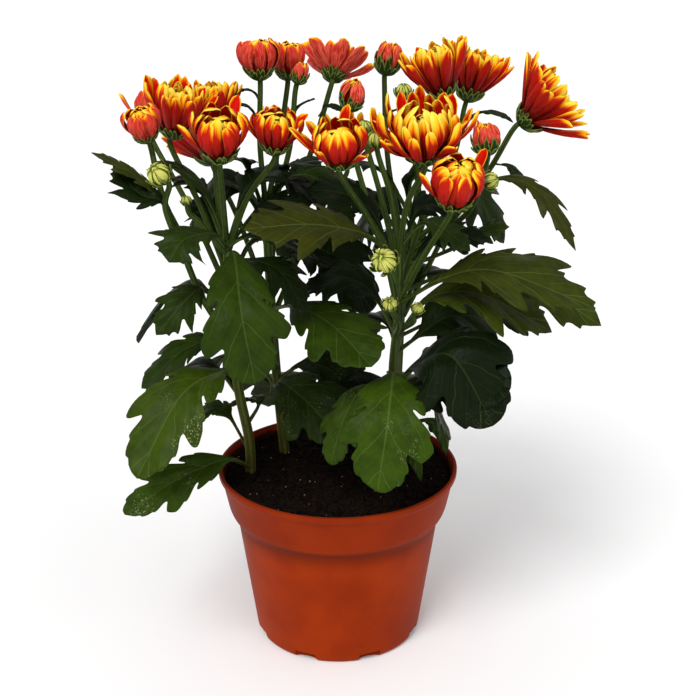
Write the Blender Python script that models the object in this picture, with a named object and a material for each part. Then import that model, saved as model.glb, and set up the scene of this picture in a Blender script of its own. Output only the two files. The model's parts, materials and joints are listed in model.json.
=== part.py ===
"""A pot chrysanthemum: four leafy stems rooted in a plastic nursery pot, with their flower heads.

X runs to the right as the plant is usually looked at, Y away from the viewer and Z up.
The origin is the middle of the pot's base. Places in the plant's layout are in millimetres.
"""

import math
import random

import bmesh
import bpy
from mathutils import Matrix, Vector, geometry

MM = 0.001

# Driving dimensions of the pot, in millimetres.
POT_HEIGHT = 98.0
RIM_RADIUS = 65.0
BASE_RADIUS = 45.7
BAND_HEIGHT = 24.5
BAND_RADIUS = 59.5
BODY_RADIUS = 55.3
WALL = 1.6
FLOOR_HEIGHT = 2.0
FOOT_RADIUS = 14.0
POT_SIDES = 32
DRAIN_COUNT = 8
DRAIN_SIZE = 3.2
DRAIN_TOP = 4.6

# Driving dimensions of the soil.
SOIL_LEVEL = 93.0
SOIL_GAP = 0.4
STEM_HOLE_DEPTH = 30.0
STEM_HOLE_GAP = 0.45

# Driving dimensions of the plant.
STEM_SIDES = 6
TWIG_SIDES = 4
STEM_RADIUS = (3.0, 2.1)
SHOOT_RADIUS = 1.9
PEDUNCLE_RADIUS = 1.35
BLADE_THICK = 0.9
PETIOLE_THICK = 2.2
PETIOLE_WIDTH = 2.6
PETIOLE_SHARE = 0.2
PETAL_KEEL = 0.7
PETAL_ROOT = 4.0
HEAD_GAP = 0.5
SHARP_ANGLE = math.radians(40)
COLOURS = {
    "terracotta": ((0.55, 0.13, 0.04), 0.45),
    "peat": ((0.02, 0.014, 0.012), 0.95),
    "leaf": ((0.05, 0.12, 0.02), 0.55),
    "petal": ((0.62, 0.05, 0.02), 0.6),
}

# Each leafy stem rises from its hole in the soil through these points.
STEMS = {
    "left_stem": ((-48, 2, 59), (-48, 0, 88), (-48, -2, 113), (-53, -8, 150), (-55, -15, 197), (-55, -19, 232)),
    "right_stem": ((34, -6, 59), (34, -7, 88), (32, -10, 122), (29, -14, 155), (31, -18, 190), (31, -21, 226)),
    "middle_stem": ((-30, 25, 59), (-30, 25, 88), (-34, 26, 138), (-37, 26, 200), (-38, 24, 242)),
    "far_stem": ((30, 32, 59), (30, 32, 88), (33, 32, 136), (36, 32, 190), (47, 30, 233)),
}

# A side shoot carries heads and leaves of its own: its stem's name and its points.
SHOOTS = (
    ("left_stem", ((-54, -12, 171), (-62, -20, 189), (-69, -30, 208), (-77, -39, 238))),
)

# Each head: its name, kind, size and stem, the three points of its stalk, and its axis.
HEADS = (
    ("o", "half", 1.1, "left_stem", ((-55, -19, 229), (-55, -32, 255), (-54, -50, 275)), (0.05, -0.35, 1.0)),
    ("n", "half", 0.9, "left_stem", ((-55, -18, 222), (-44, -24, 252), (-30, -30, 276)), (0.15, -0.2, 1.0)),
    ("p", "open", 1.0, "left_stem", ((-55, -16, 210), (-68, -12, 245), (-79, -8, 279)), (0.5, 0.05, 1.0)),
    ("q", "cup", 0.86, "left_stem", ((-77, -39, 236), (-84, -39, 262), (-88, -34, 281)), (-0.2, -0.4, 1.0)),
    ("s", "fan", 0.95, "left_stem", ((-55, -16, 206), (-61, 4, 246), (-60, 22, 280)), (0.05, 0.1, 1.0)),
    ("r", "half", 0.9, "left_stem", ((-55, -15, 200), (-76, 10, 238), (-96, 30, 271)), (0.0, 0.35, 1.0)),
    ("a", "cup", 1.0, "middle_stem", ((-38, 24, 238), (-40, 22, 270), (-39, 20, 300)), (0.0, 0.0, 1.0)),
    ("b", "cup", 0.82, "middle_stem", ((-38, 25, 232), (-31, 33, 266), (-26, 38, 299)), (0.05, 0.0, 1.0)),
    ("c", "bud", 0.66, "middle_stem", ((-37, 26, 225), (-26, 20, 266), (-23, 16, 298)), (0.3, -0.1, 1.0)),
    ("d", "open", 0.82, "middle_stem", ((-37, 26, 215), (-16, 44, 256), (-4, 52, 296)), (0.15, 1.0, 1.0)),
    ("back_left", "open", 1.0, "middle_stem", ((-37, 26, 180), (-54, 46, 222), (-69, 62, 250)), (-0.4, 0.6, 1.0)),
    ("back_mid", "half", 1.0, "middle_stem", ((-37, 26, 190), (-34, 58, 226), (-35, 80, 255)), (-0.1, 0.6, 1.0)),
    ("back_far", "open", 1.0, "middle_stem", ((-36, 26, 172), (-12, 62, 220), (4, 84, 243)), (0.0, 0.7, 1.0)),
    ("j", "open", 1.15, "right_stem", ((31, -21, 223), (33, -34, 252), (38, -45, 275)), (-0.05, -0.35, 1.0)),
    ("m", "half", 1.0, "right_stem", ((31, -18, 192), (21, -28, 233), (1, -50, 271)), (-0.05, -0.4, 1.0)),
    ("l", "cup", 1.15, "right_stem", ((31, -18, 196), (43, -38, 228), (53, -66, 255)), (0.15, -0.45, 1.0)),
    ("e", "bud", 0.95, "right_stem", ((31, -20, 210), (14, -2, 250), (6, 8, 286)), (0.25, -0.2, 1.0)),
    ("f", "bud", 1.0, "far_stem", ((38, 32, 200), (27, 32, 255), (25, 30, 302)), (0.15, 0.0, 1.0)),
    ("g", "fan", 1.0, "far_stem", ((47, 30, 231), (54, 20, 262), (54, 12, 295)), (-0.28, -0.05, 1.0)),
    ("h", "open", 1.0, "far_stem", ((47, 30, 230), (62, 44, 258), (69, 54, 286)), (0.4, 0.15, 1.0)),
    ("i", "open", 1.08, "far_stem", ((42, 31, 215), (73, 15, 250), (94, 5, 281)), (1.1, -0.1, 0.9)),
    ("k", "bud", 1.0, "far_stem", ((41, 31, 210), (67, 4, 238), (76, -8, 269)), (-0.1, -0.2, 1.0)),
    ("back_right", "open", 1.0, "far_stem", ((36, 32, 180), (42, 66, 222), (49, 90, 246)), (0.1, 0.6, 1.0)),
    ("back_side", "cup", 0.9, "far_stem", ((36, 32, 172), (56, 54, 206), (68, 72, 231)), (0.3, 0.6, 1.0)),
)

# Each green bud: its stem, the points of its stalk, the way that it faces and its radius.
GREEN_BUDS = (
    ("left_stem", ((-77, -39, 235), (-81, -46, 254), (-80, -53, 269)), (-0.4, -0.6, 0.7), 5.7),
    ("left_stem", ((-55, -18, 222), (-67, -24, 240), (-73, -26, 250)), (-0.2, -0.2, 1.0), 2.6),
    ("right_stem", ((31, -17, 186), (29, -44, 213), (24, -60, 230)), (-0.3, -0.8, 0.6), 6.3),
    ("right_stem", ((30, -16, 178), (31, -36, 192), (26, -51, 206)), (-0.1, -0.7, 0.7), 3.6),
    ("right_stem", ((30, -16, 180), (38, -32, 191), (39, -41, 200)), (0.3, -0.5, 0.8), 3.0),
    ("right_stem", ((31, -21, 220), (27, -18, 250), (20, -14, 276)), (-0.1, -0.2, 1.0), 4.7),
    ("right_stem", ((31, -20, 214), (22, -12, 250), (14, -4, 280)), (-0.1, 0.0, 1.0), 4.0),
    ("far_stem", ((45, 30, 226), (40, 16, 262), (33, 0, 297)), (0.0, -0.1, 1.0), 4.2),
    ("far_stem", ((40, 31, 205), (62, 2, 238), (72, -24, 260)), (0.8, -0.3, 0.4), 4.3),
)

# Each leaf: its stem, the height or point where it leaves it, three points of its midrib
# out to the tip, its width, and how far the blade rolls round the midrib, in degrees.
LEAVES = (
    ("left_stem", 222, (-49, -46, 229), (-44, -76, 210), (-38, -82, 178), 46, 0),
    ("left_stem", 226, (-59, -42, 239), (-71, -58, 241), (-78, -64, 232), 34, -12),
    ("left_stem", (-67, -27, 203), (-69, -42, 211), (-77, -50, 207), (-91, -58, 193), 21, -25),
    ("left_stem", (-77, -39, 236), (-83, -42, 255), (-97, -42, 269), (-115, -42, 279), 17, -10),
    ("left_stem", (-76, -37, 240), (-82, -46, 256), (-93, -46, 260), (-106, -38, 272), 26, -30),
    ("left_stem", 229, (-63, -24, 252), (-75, -22, 266), (-89, -12, 268), 15, 0),
    ("left_stem", 156, (-59, -30, 163), (-77, -52, 159), (-97, -76, 126), 44, -12),
    ("left_stem", 166, (-63, -22, 177), (-80, -20, 170), (-101, -22, 151), 28, -20),
    ("left_stem", 96, (-58, -26, 112), (-80, -50, 113), (-106, -66, 101), 27, -38),
    ("left_stem", 104, (-58, 4, 122), (-67, 10, 126), (-82, 14, 119), 18, -20),
    ("left_stem", 132, (-56, 0, 146), (-62, 4, 148), (-72, 8, 141), 18, -20),
    ("left_stem", 122, (-43, 6, 130), (-48, 14, 130), (-60, 20, 122), 20, 0),
    ("left_stem", 226, (-42, -14, 240), (-28, -12, 245), (-12, -8, 246), 24, 35),
    ("left_stem", 226, (-45, -25, 233), (-31, -22, 231), (-9, -20, 219), 32, 0),
    ("left_stem", 218, (-43, -30, 222), (-28, -38, 219), (-16, -42, 201), 38, 0),
    ("left_stem", 150, (-46, 4, 158), (-40, 10, 156), (-34, 16, 146), 16, 0),
    ("middle_stem", 178, (-22, -8, 191), (-2, -36, 190), (17, -60, 178), 46, 14),
    ("middle_stem", 124, (-31, 5, 143), (-17, -16, 142), (2, -32, 127), 44, 30),
    ("middle_stem", 136, (-20, 18, 148), (-4, 10, 148), (12, 4, 130), 36, 30),
    ("middle_stem", 116, (-18, 14, 129), (1, 2, 140), (27, -12, 129), 48, 20),
    ("middle_stem", 205, (-42, 24, 232), (-51, 20, 246), (-60, 14, 250), 34, 0),
    ("middle_stem", 215, (-32, 18, 243), (-23, 14, 251), (-11, 12, 240), 30, 0),
    ("right_stem", 220, (14, -40, 238), (-12, -57, 248), (-42, -72, 250), 42, -30),
    ("right_stem", 142, (15, -28, 154), (4, -40, 142), (-3, -48, 120), 30, 0),
    ("right_stem", 154, (28, -40, 165), (25, -68, 153), (20, -76, 119), 48, 0),
    ("right_stem", 146, (41, -14, 150), (50, -12, 138), (60, -10, 116), 26, 10),
    ("right_stem", 150, (41, -26, 153), (61, -42, 163), (86, -52, 164), 50, 42),
    ("right_stem", 168, (44, -8, 176), (62, -4, 184), (84, -4, 166), 44, 35),
    ("right_stem", 196, (52, -38, 215), (78, -44, 221), (125, -52, 205), 42, 24),
    ("right_stem", 226, (42, -36, 243), (52, -42, 241), (64, -46, 232), 22, 15),
    ("right_stem", 178, (20, -8, 195), (4, -7, 206), (-19, -5, 198), 40, -15),
    ("right_stem", 205, (19, -8, 238), (4, -8, 250), (-16, -6, 252), 36, -20),
    ("right_stem", 215, (39, -12, 240), (50, -8, 245), (62, -6, 241), 34, 20),
    ("right_stem", 200, (44, -18, 226), (57, -20, 232), (76, -20, 230), 30, 20),
    ("right_stem", 176, (46, -24, 200), (72, -32, 205), (107, -36, 187), 44, 20),
    ("right_stem", 148, (40, -34, 168), (57, -48, 178), (77, -60, 147), 60, 25),
    ("right_stem", 104, (36, -14, 110), (41, -19, 109), (44, -23, 98), 9, 0),
    ("far_stem", 186, (60, 10, 203), (95, -8, 207), (137, -18, 183), 46, 32),
    ("far_stem", 200, (62, 2, 220), (74, -6, 229), (87, -10, 234), 22, 30),
    ("far_stem", 228, (78, -2, 256), (100, -20, 254), (116, -38, 230), 16, 15),
    ("far_stem", 160, (62, 16, 180), (80, 16, 182), (102, 10, 168), 20, 15),
    ("far_stem", 165, (46, 16, 178), (60, 8, 182), (81, 2, 162), 46, 20),
    ("far_stem", 104, (48, 20, 114), (56, 12, 113), (59, 5, 101), 14, 0),
    ("far_stem", (80, 10, 262), (86, 4, 262), (91, 0, 258), (95, -3, 249), 10, 0),
)

# Leaves that fill the plant out: stem, height, heading in degrees from +X, reach, width
# and roll.
FILLERS = (
    ("left_stem", 140, 168, 50, 36, 0),
    ("left_stem", 186, 165, 52, 36, 0),
    ("middle_stem", 112, 100, 62, 40, 0),
    ("middle_stem", 130, 143, 64, 40, 0),
    ("middle_stem", 164, 115, 66, 42, 0),
    ("middle_stem", 204, 80, 54, 36, 0),
    ("middle_stem", 198, -8, 56, 44, 45),
    ("middle_stem", 236, 10, 48, 38, 40),
    ("middle_stem", 230, 165, 44, 34, -40),
    ("far_stem", 110, 70, 62, 40, 0),
    ("far_stem", 128, 25, 62, 40, 0),
    ("far_stem", 148, 112, 62, 42, 0),
    ("far_stem", 176, 48, 64, 42, 0),
    ("far_stem", 198, 92, 52, 34, 0),
    ("far_stem", 216, 146, 43, 38, -45),
    ("far_stem", 230, 8, 44, 36, 45),
)
FILLER_RISE, FILLER_CREST, FILLER_DROP = 14, 12, 18

# One side of a blade's outline, for a large, a side and a small leaf: the share of the
# blade's length, and of its half width.
LARGE_OUTLINE = (
    (0.10, 0.16), (0.28, 0.62), (0.43, 0.74), (0.42, 0.38),
    (0.62, 1.00), (0.78, 0.86), (0.72, 0.42), (0.90, 0.42),
)
SIDE_OUTLINE = ((0.14, 0.22), (0.42, 0.84), (0.46, 0.46), (0.72, 1.00), (0.86, 0.44))
SMALL_OUTLINE = ((0.35, 1.00), (0.72, 0.72))
LARGE_LEAF, SIDE_LEAF = 40, 22
BLADE_RIB = (0.2, 0.5, 0.8)
BLADE_FOLD, BLADE_SAG = 0.22, 0.3

# Whorls of petals in each kind of head: count, length, width, height of the root, and the
# angle from the head's axis at the root and at the tip. Lengths are in millimetres.
WHORLS = {
    "open": ((7, 25, 7.6, 7.0, 54, 40), (6, 22, 7.4, 10.0, 32, 10)),
    "fan": ((7, 25, 7.6, 7.0, 38, 24), (6, 22, 7.4, 10.0, 20, 0)),
    "half": ((3, 21, 7.2, 7.0, 56, 30), (5, 19, 7.4, 8.0, 24, -14)),
    "cup": ((4, 16, 7.0, 8.0, 22, -24),),
    "bud": (),
}
PETAL_SHARES, PETAL_WIDTHS, PETAL_BOW = (0.0, 0.62, 1.0), (0.4, 1.0), 0.16
# The closed heart of each kind of head: radius, height, ridges and how many rings it has.
HEARTS = {
    "open": (8.4, 15, 6, 2), "fan": (8.4, 17, 6, 2),
    "half": (8.8, 17, 6, 3), "cup": (9.8, 20, 7, 3), "bud": (7.2, 12, 6, 3),
}
CALYX_RADIUS, CALYX_TIP, CALYX_FLOOR, CALYX_SIDES = 6.2, 4.6, 3.2, 8


def clear_scene():
    for obj in list(bpy.data.objects):
        bpy.data.objects.remove(obj)


def material(name):
    colour, roughness = COLOURS[name]
    made = bpy.data.materials.new(name)
    made.use_nodes = True
    shader = made.node_tree.nodes["Principled BSDF"]
    shader.inputs["Base Color"].default_value = (*colour, 1.0)
    shader.inputs["Roughness"].default_value = roughness
    return made


def solid(name, points, faces, collection):
    """One closed mesh object from points in millimetres, with its faces turned outwards."""
    mesh = bpy.data.meshes.new(name)
    mesh.from_pydata([Vector(p) * MM for p in points], [], faces)
    shape = bmesh.new()
    shape.from_mesh(mesh)
    bmesh.ops.triangulate(shape, faces=shape.faces)
    bmesh.ops.recalc_face_normals(shape, faces=shape.faces)
    shape.to_mesh(mesh)
    shape.free()
    made = bpy.data.objects.new(name, mesh)
    collection.objects.link(made)
    return made


def settled(name, body, others, finish):
    """The body with its Boolean applied, as the node of that name, and the others removed."""
    bpy.context.scene.collection.objects.link(body)
    bpy.context.view_layer.update()
    graph = bpy.context.evaluated_depsgraph_get()
    mesh = bpy.data.meshes.new_from_object(body.evaluated_get(graph))
    for other in list(others.objects):
        bpy.data.objects.remove(other)
    bpy.data.collections.remove(others)
    body.modifiers.clear()
    body.data, body.name = mesh, name
    mesh.materials.clear()
    mesh.materials.append(finish)
    mesh.shade_smooth()
    mesh.set_sharp_from_angle(angle=SHARP_ANGLE)
    return body


def fused(name, pieces, finish):
    """The pieces joined into one closed solid, by the solver that stays quick with many."""
    body, others = pieces[0], bpy.data.collections.new("others")
    for piece in pieces[1:]:
        others.objects.link(piece)
    if len(pieces) > 1:
        join = body.modifiers.new("Join", "BOOLEAN")
        join.operation, join.operand_type, join.solver = "UNION", "COLLECTION", "MANIFOLD"
        join.collection = others
    return settled(name, body, others, finish)


def spline(points, share):
    """A point at a share of the way along a smooth curve through the points."""
    points = [Vector(p) for p in points]
    points = [2 * points[0] - points[1], *points, 2 * points[-1] - points[-2]]
    place = min(max(share, 0.0), 0.99999) * (len(points) - 3)
    i, t = int(place), place - int(place)
    a, b, c, d = points[i:i + 4]
    return 0.5 * (
        2 * b + (c - a) * t + (2 * a - 5 * b + 4 * c - d) * t * t + (3 * b - a - 3 * c + d) * t**3
    )


def at_height(points, height):
    """The point of a rising curve that lies at a height, found by halving."""
    low, high = 0.0, 1.0
    for _ in range(24):
        middle = (low + high) / 2
        low, high = (middle, high) if spline(points, middle).z < height else (low, middle)
    return spline(points, low)


def tube(points, radii, sides, steps, collection):
    """A closed round stem along a smooth curve, whose radius runs from the first to the last."""
    ring_points, faces = [], []
    side = Vector((1, 0, 0))
    for k in range(steps + 1):
        share = k / steps
        centre = spline(points, share)
        along = (spline(points, share + 0.01) - spline(points, share - 0.01)).normalized()
        side = (side - along * side.dot(along)).normalized()
        other = along.cross(side)
        radius = radii[0] + (radii[1] - radii[0]) * share
        for j in range(sides):
            angle = 2 * math.pi * j / sides
            ring_points.append(centre + radius * (side * math.cos(angle) + other * math.sin(angle)))
    for k in range(steps):
        for j in range(sides):
            a, b = k * sides + j, k * sides + (j + 1) % sides
            faces.append((a, b, b + sides, a + sides))
    faces.append(tuple(range(sides)))
    faces.append(tuple(range(steps * sides, (steps + 1) * sides)))
    return solid("stem", ring_points, faces, collection)


def turned(profile, sides, collection, ridge=0.0, place=None):
    """A closed solid turned round Z from (radius, height) pairs, where radius 0 is a pole.

    ridge moves every other vertical line in by that share, and place puts the solid in space.
    """
    place = place or Matrix.Identity(4)
    points, rings, faces = [], [], []
    for radius, height in profile:
        count = 1 if radius == 0 else sides
        rings.append(range(len(points), len(points) + count))
        for j in range(count):
            angle, inset = 2 * math.pi * j / sides, 1 - ridge * (j % 2)
            points.append(place @ Vector((radius * inset * math.cos(angle), radius * inset * math.sin(angle), height)))
    for low, high in zip(rings, rings[1:]):
        for j in range(sides):
            k = (j + 1) % sides
            face = [low[j % len(low)], low[k % len(low)], high[k % len(high)], high[j % len(high)]]
            faces.append(tuple(dict.fromkeys(face)))
    return solid("turned", points, faces, collection)


def head_frame(seat, axis, size):
    """The matrix that stands a head's own Z along its axis, with its foot at the seat."""
    turn = Vector(axis).normalized().to_track_quat("Z", "Y").to_matrix().to_4x4()
    return Matrix.Translation(Vector(seat)) @ turn @ Matrix.Scale(size, 4)


def blade_faces(outline, rib):
    """Triangles over a flat outline with a line of rib points, which all become corners."""
    flat = [Vector(p) for p in outline + rib]
    count = len(outline)
    edges = [(count + i, count + i + 1) for i in range(len(rib) - 1)]
    found = geometry.delaunay_2d_cdt(flat, edges, [list(range(count))], 1, 1e-5)
    return [tuple(found[3][v][0] for v in face) for face in found[2]]


def leaf(line, width, roll, collection):
    """A lobed blade on its stalk, bent along the smooth curve through the line's points."""
    if width >= LARGE_LEAF:
        lobes = LARGE_OUTLINE
    elif width >= SIDE_LEAF:
        lobes = SIDE_OUTLINE
    else:
        lobes = SMALL_OUTLINE
    reach = Vector(line[-1]) - Vector(line[0])
    heading = Vector((reach.x, reach.y, 0)).normalized()
    side = heading.cross(Vector((0, 0, 1)))
    half = width / 2
    stalk = PETIOLE_WIDTH / width
    blade = 1 - PETIOLE_SHARE
    right = [(0.0, stalk), (PETIOLE_SHARE, stalk)]
    right += [(PETIOLE_SHARE + blade * s, max(w, stalk)) for s, w in lobes]
    outline = right + [(1.0, 0.0)] + [(s, -w) for s, w in reversed(right)]
    rib = [(PETIOLE_SHARE + blade * s, 0.0) for s in BLADE_RIB]
    faces = blade_faces(outline, rib)
    upper, lower = [], []
    for s, w in outline + rib:
        centre = spline(line, s)
        along = (spline(line, s + 0.02) - spline(line, s - 0.02)).normalized()
        across = (side - along * side.dot(along)).normalized()
        across.rotate(Matrix.Rotation(math.radians(roll) * min(1, s / PETIOLE_SHARE), 3, along))
        normal = across.cross(along)
        lift = half * (BLADE_FOLD * abs(w) - BLADE_SAG * w * w)
        thick = PETIOLE_THICK if s <= PETIOLE_SHARE else BLADE_THICK
        middle = centre + across * (half * w) + normal * lift
        upper.append(middle + normal * thick / 2)
        lower.append(middle - normal * thick / 2)
    count, border = len(upper), len(outline)
    walls = [(i, (i + 1) % border, (i + 1) % border + count, i + count) for i in range(border)]
    under = [tuple(v + count for v in reversed(face)) for face in faces]
    return solid("leaf", upper + lower, faces + under + walls, collection)


def petal(place, azimuth, length, width, foot, lean, tip_lean, collection):
    """A keeled petal, which leaves the head's axis at one lean and ends at another."""
    outward = Vector((math.cos(azimuth), math.sin(azimuth), 0))
    side = Vector((-math.sin(azimuth), math.cos(azimuth), 0))
    up = Vector((0, 0, 1))
    first, turn = math.radians(lean), math.radians(tip_lean - lean)
    points = []
    for share, spread in zip(PETAL_SHARES, (*PETAL_WIDTHS, 0.0)):
        angle = first + turn * share
        out = (math.cos(first) - math.cos(angle)) / turn
        rise = (math.sin(angle) - math.sin(first)) / turn
        centre = outward * (PETAL_ROOT + length * out) + up * (foot + length * rise)
        inner = up * math.sin(angle) - outward * math.cos(angle)
        edge, bow = side * (width * spread / 2), inner * (PETAL_BOW * width * spread)
        if spread:
            points += [centre - edge + bow, centre + edge + bow, centre - inner * PETAL_KEEL]
        else:
            points.append(centre)
    faces = [(0, 1, 2)]
    for j in range(3):
        k = (j + 1) % 3
        faces += [(j, k, k + 3, j + 3), (j + 3, k + 3, 6)]
    return solid("petal", [place @ p for p in points], faces, collection)


def heart_profile(radius, height, rings):
    """The closed middle of a head: its cone-shaped foot in the calyx, then an egg."""
    foot = CALYX_FLOOR + HEAD_GAP
    profile = [(0, foot), (CALYX_RADIUS * 0.8, foot + 1.5)]
    for k in range(1, rings + 1):
        angle = math.pi * 0.92 * k / (rings + 0.4)
        profile.append((radius * math.sin(angle) ** 0.8, foot + 1.5 + height * (1 - math.cos(angle)) / 2))
    return profile + [(0, foot + 1.5 + height)]


def bloom(name, kind, size, seat, axis, finish, parts):
    """One flower head: the closed heart and the whorls of petals round it."""
    place = head_frame(seat, axis, size)
    radius, height, ridges, rings = HEARTS[kind]
    pieces = [turned(heart_profile(radius, height, rings), 2 * ridges, parts, 0.14, place)]
    chance = random.Random(name)
    for count, length, width, foot, lean, tip_lean in WHORLS[kind]:
        start = chance.uniform(0, 2 * math.pi)
        for k in range(count):
            azimuth = start + 2 * math.pi * (k + chance.uniform(-0.12, 0.12)) / count
            pieces.append(petal(
                place, azimuth, length * chance.uniform(0.94, 1.06), width, foot,
                lean + chance.uniform(-5, 5), tip_lean + chance.uniform(-8, 8), parts,
            ))
    return fused("bloom_" + name, pieces, finish)


def calyx(seat, axis, size, parts):
    """The green cup under a head."""
    profile = [(0, -2.0), (CALYX_RADIUS * 0.82, 1.6), (CALYX_RADIUS, CALYX_TIP), (0, CALYX_FLOOR)]
    return turned(profile, CALYX_SIDES, parts, 0.0, head_frame(seat, axis, size))


def green_bud(seat, axis, radius, parts):
    """A closed bud, still green, that is as wide as it is tall."""
    profile = [(0, -0.2), (0.75, 0.3), (1, 1), (0.7, 1.7), (0, 2)]
    return turned(profile, 8, parts, 0.1, head_frame(seat, axis, radius))


def stalk(points, axis, parts):
    """A head's stalk, which ends along the head's axis just inside its calyx."""
    seat, way = Vector(points[-1]), Vector(axis).normalized()
    line = [*points[:-1], seat - way * 5, seat + way * 1.2]
    return tube(line, (PEDUNCLE_RADIUS * 1.15, PEDUNCLE_RADIUS), TWIG_SIDES, 3, parts)


def filler_line(root, heading, reach):
    """Root, bend, crest and tip of a leaf that only has a heading and a reach."""
    way = Vector((math.cos(math.radians(heading)), math.sin(math.radians(heading)), 0))
    up = Vector((0, 0, 1))
    return (root, root + way * reach * 0.25 + up * FILLER_RISE,
            root + way * reach * 0.6 + up * FILLER_CREST, root + way * reach - up * FILLER_DROP)


def leafy_stem(name, finish, parts):
    """A stem with its shoots, stalks, calyces, green buds and leaves, as one solid."""
    path = STEMS[name]
    pieces = [tube(path, STEM_RADIUS, STEM_SIDES, 7, parts)]
    for owner, line in SHOOTS:
        if owner == name:
            pieces.append(tube(line, (SHOOT_RADIUS, SHOOT_RADIUS * 0.8), STEM_SIDES, 5, parts))
    for _, _, size, owner, line, axis in HEADS:
        if owner == name:
            pieces += [stalk(line, axis, parts), calyx(line[-1], axis, size, parts)]
    for owner, line, axis, radius in GREEN_BUDS:
        if owner == name:
            pieces += [stalk(line, axis, parts), green_bud(line[-1], axis, radius, parts)]
    for owner, root, bend, crest, tip, width, roll in LEAVES:
        if owner == name:
            start = Vector(root) if isinstance(root, tuple) else at_height(path, root)
            pieces.append(leaf((start, bend, crest, tip), width, roll, parts))
    for owner, height, heading, reach, width, roll in FILLERS:
        if owner == name:
            pieces.append(leaf(filler_line(at_height(path, height), heading, reach), width, roll, parts))
    return fused(name, pieces, finish)


def carved(name, body, cutters, finish):
    """The body less its cutters, as the node of that name."""
    cut = bpy.data.collections.new("cut")
    for cutter in cutters:
        cut.objects.link(cutter)
    bore = body.modifiers.new("Cut", "BOOLEAN")
    bore.operation, bore.operand_type, bore.solver = "DIFFERENCE", "COLLECTION", "EXACT"
    bore.collection = cut
    return settled(name, body, cut, finish)


def pot(finish, parts):
    """The nursery pot: a tapered cup with a wide band at its rim and drain slots round its foot."""
    band_foot = POT_HEIGHT - BAND_HEIGHT
    outer = [
        (0, 0), (FOOT_RADIUS, 0), (FOOT_RADIUS + 2, FLOOR_HEIGHT), (BASE_RADIUS - 9, FLOOR_HEIGHT),
        (BASE_RADIUS - 7, 0), (BASE_RADIUS - 1.5, 0),
        (BASE_RADIUS, 2.0), (BODY_RADIUS, band_foot - 3.0), (BAND_RADIUS - 0.8, band_foot),
        (BAND_RADIUS, band_foot + 1.6), (RIM_RADIUS - 1.4, POT_HEIGHT - 4.0), (RIM_RADIUS, POT_HEIGHT - 2.4),
        (RIM_RADIUS - 0.5, POT_HEIGHT),
    ]
    inner = [
        (RIM_RADIUS - 2.6, POT_HEIGHT), (RIM_RADIUS - 3.0, POT_HEIGHT - 4.0),
        (BAND_RADIUS - WALL, band_foot + 3.0), (BODY_RADIUS - WALL, band_foot - 1.5),
        (BASE_RADIUS - WALL, FLOOR_HEIGHT + WALL), (0, FLOOR_HEIGHT + WALL),
    ]
    body = turned(outer + inner, POT_SIDES, parts)
    slots = []
    for k in range(DRAIN_COUNT):
        turn = Matrix.Rotation(2 * math.pi * (k + 0.5) / DRAIN_COUNT, 4, "Z")
        place = turn @ Matrix.Translation((BASE_RADIUS - 1.2, 0, 0)) @ Matrix.Diagonal((1, 2, 1, 1))
        profile = [(0, -DRAIN_SIZE), (DRAIN_SIZE, -DRAIN_SIZE), (DRAIN_SIZE, DRAIN_TOP), (0, DRAIN_TOP)]
        slots.append(turned(profile, 6, parts, 0.0, place))
    return carved("pot", body, slots, finish)


def soil(finish, parts):
    """The peat that fills the pot, uneven on top, with a plain hole for each stem."""
    chance = random.Random("peat")
    band_foot = POT_HEIGHT - BAND_HEIGHT
    gap = WALL + SOIL_GAP
    top_radius = RIM_RADIUS - 3.0 - SOIL_GAP - 0.32 * (POT_HEIGHT - 4.0 - SOIL_LEVEL)
    low = FLOOR_HEIGHT + WALL + SOIL_GAP
    profile = [
        (0, low), (BASE_RADIUS - gap - 0.1, low), (BODY_RADIUS - gap - 0.2, band_foot - 1.3),
        (BAND_RADIUS - gap - 0.2, band_foot + 3.2), (top_radius, SOIL_LEVEL - 1.0),
        (top_radius * 0.7, SOIL_LEVEL), (top_radius * 0.36, SOIL_LEVEL + 0.8), (0, SOIL_LEVEL + 1.0),
    ]
    body = turned(profile, POT_SIDES, parts)
    for vertex in body.data.vertices:
        if vertex.co.z > (SOIL_LEVEL - 0.5) * MM:
            vertex.co.z += chance.uniform(-1.2, 1.2) * MM
    holes = []
    for path in STEMS.values():
        foot = Vector(path[0])
        line = (foot - Vector((0, 0, STEM_HOLE_GAP)), path[1], spline(path, 1.5 / (len(path) - 1)))
        radius = STEM_RADIUS[0] + STEM_HOLE_GAP
        holes.append(tube(line, (radius, radius), STEM_SIDES, 3, parts))
    return carved("soil", body, holes, finish)


def main():
    clear_scene()
    finishes = {name: material(name) for name in COLOURS}
    parts = bpy.data.collections.new("loose")
    bpy.context.scene.collection.children.link(parts)
    pot(finishes["terracotta"], parts)
    soil(finishes["peat"], parts)
    for name in STEMS:
        leafy_stem(name, finishes["leaf"], parts)
    for name, kind, size, _, line, axis in HEADS:
        bloom(name, kind, size, line[-1], axis, finishes["petal"], parts)
    bpy.context.view_layer.update()


main()
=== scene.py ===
# %% [markdown]
# A pot chrysanthemum in its nursery pot
#
# The plant is a florist's chrysanthemum: four leafy stems stand in one plastic pot of peat, and
# each branches at its top into stalks that carry one flower head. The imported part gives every
# piece its place. This script puts a finer piece in the place of each of its plain solids.
# Lengths are written in millimetres, as a gardener would measure them, and MM turns them to
# Blender's metres.

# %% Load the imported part
import json
import math
import random

import bpy
import numpy as np
from mathutils import Matrix, Vector, geometry

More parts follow.
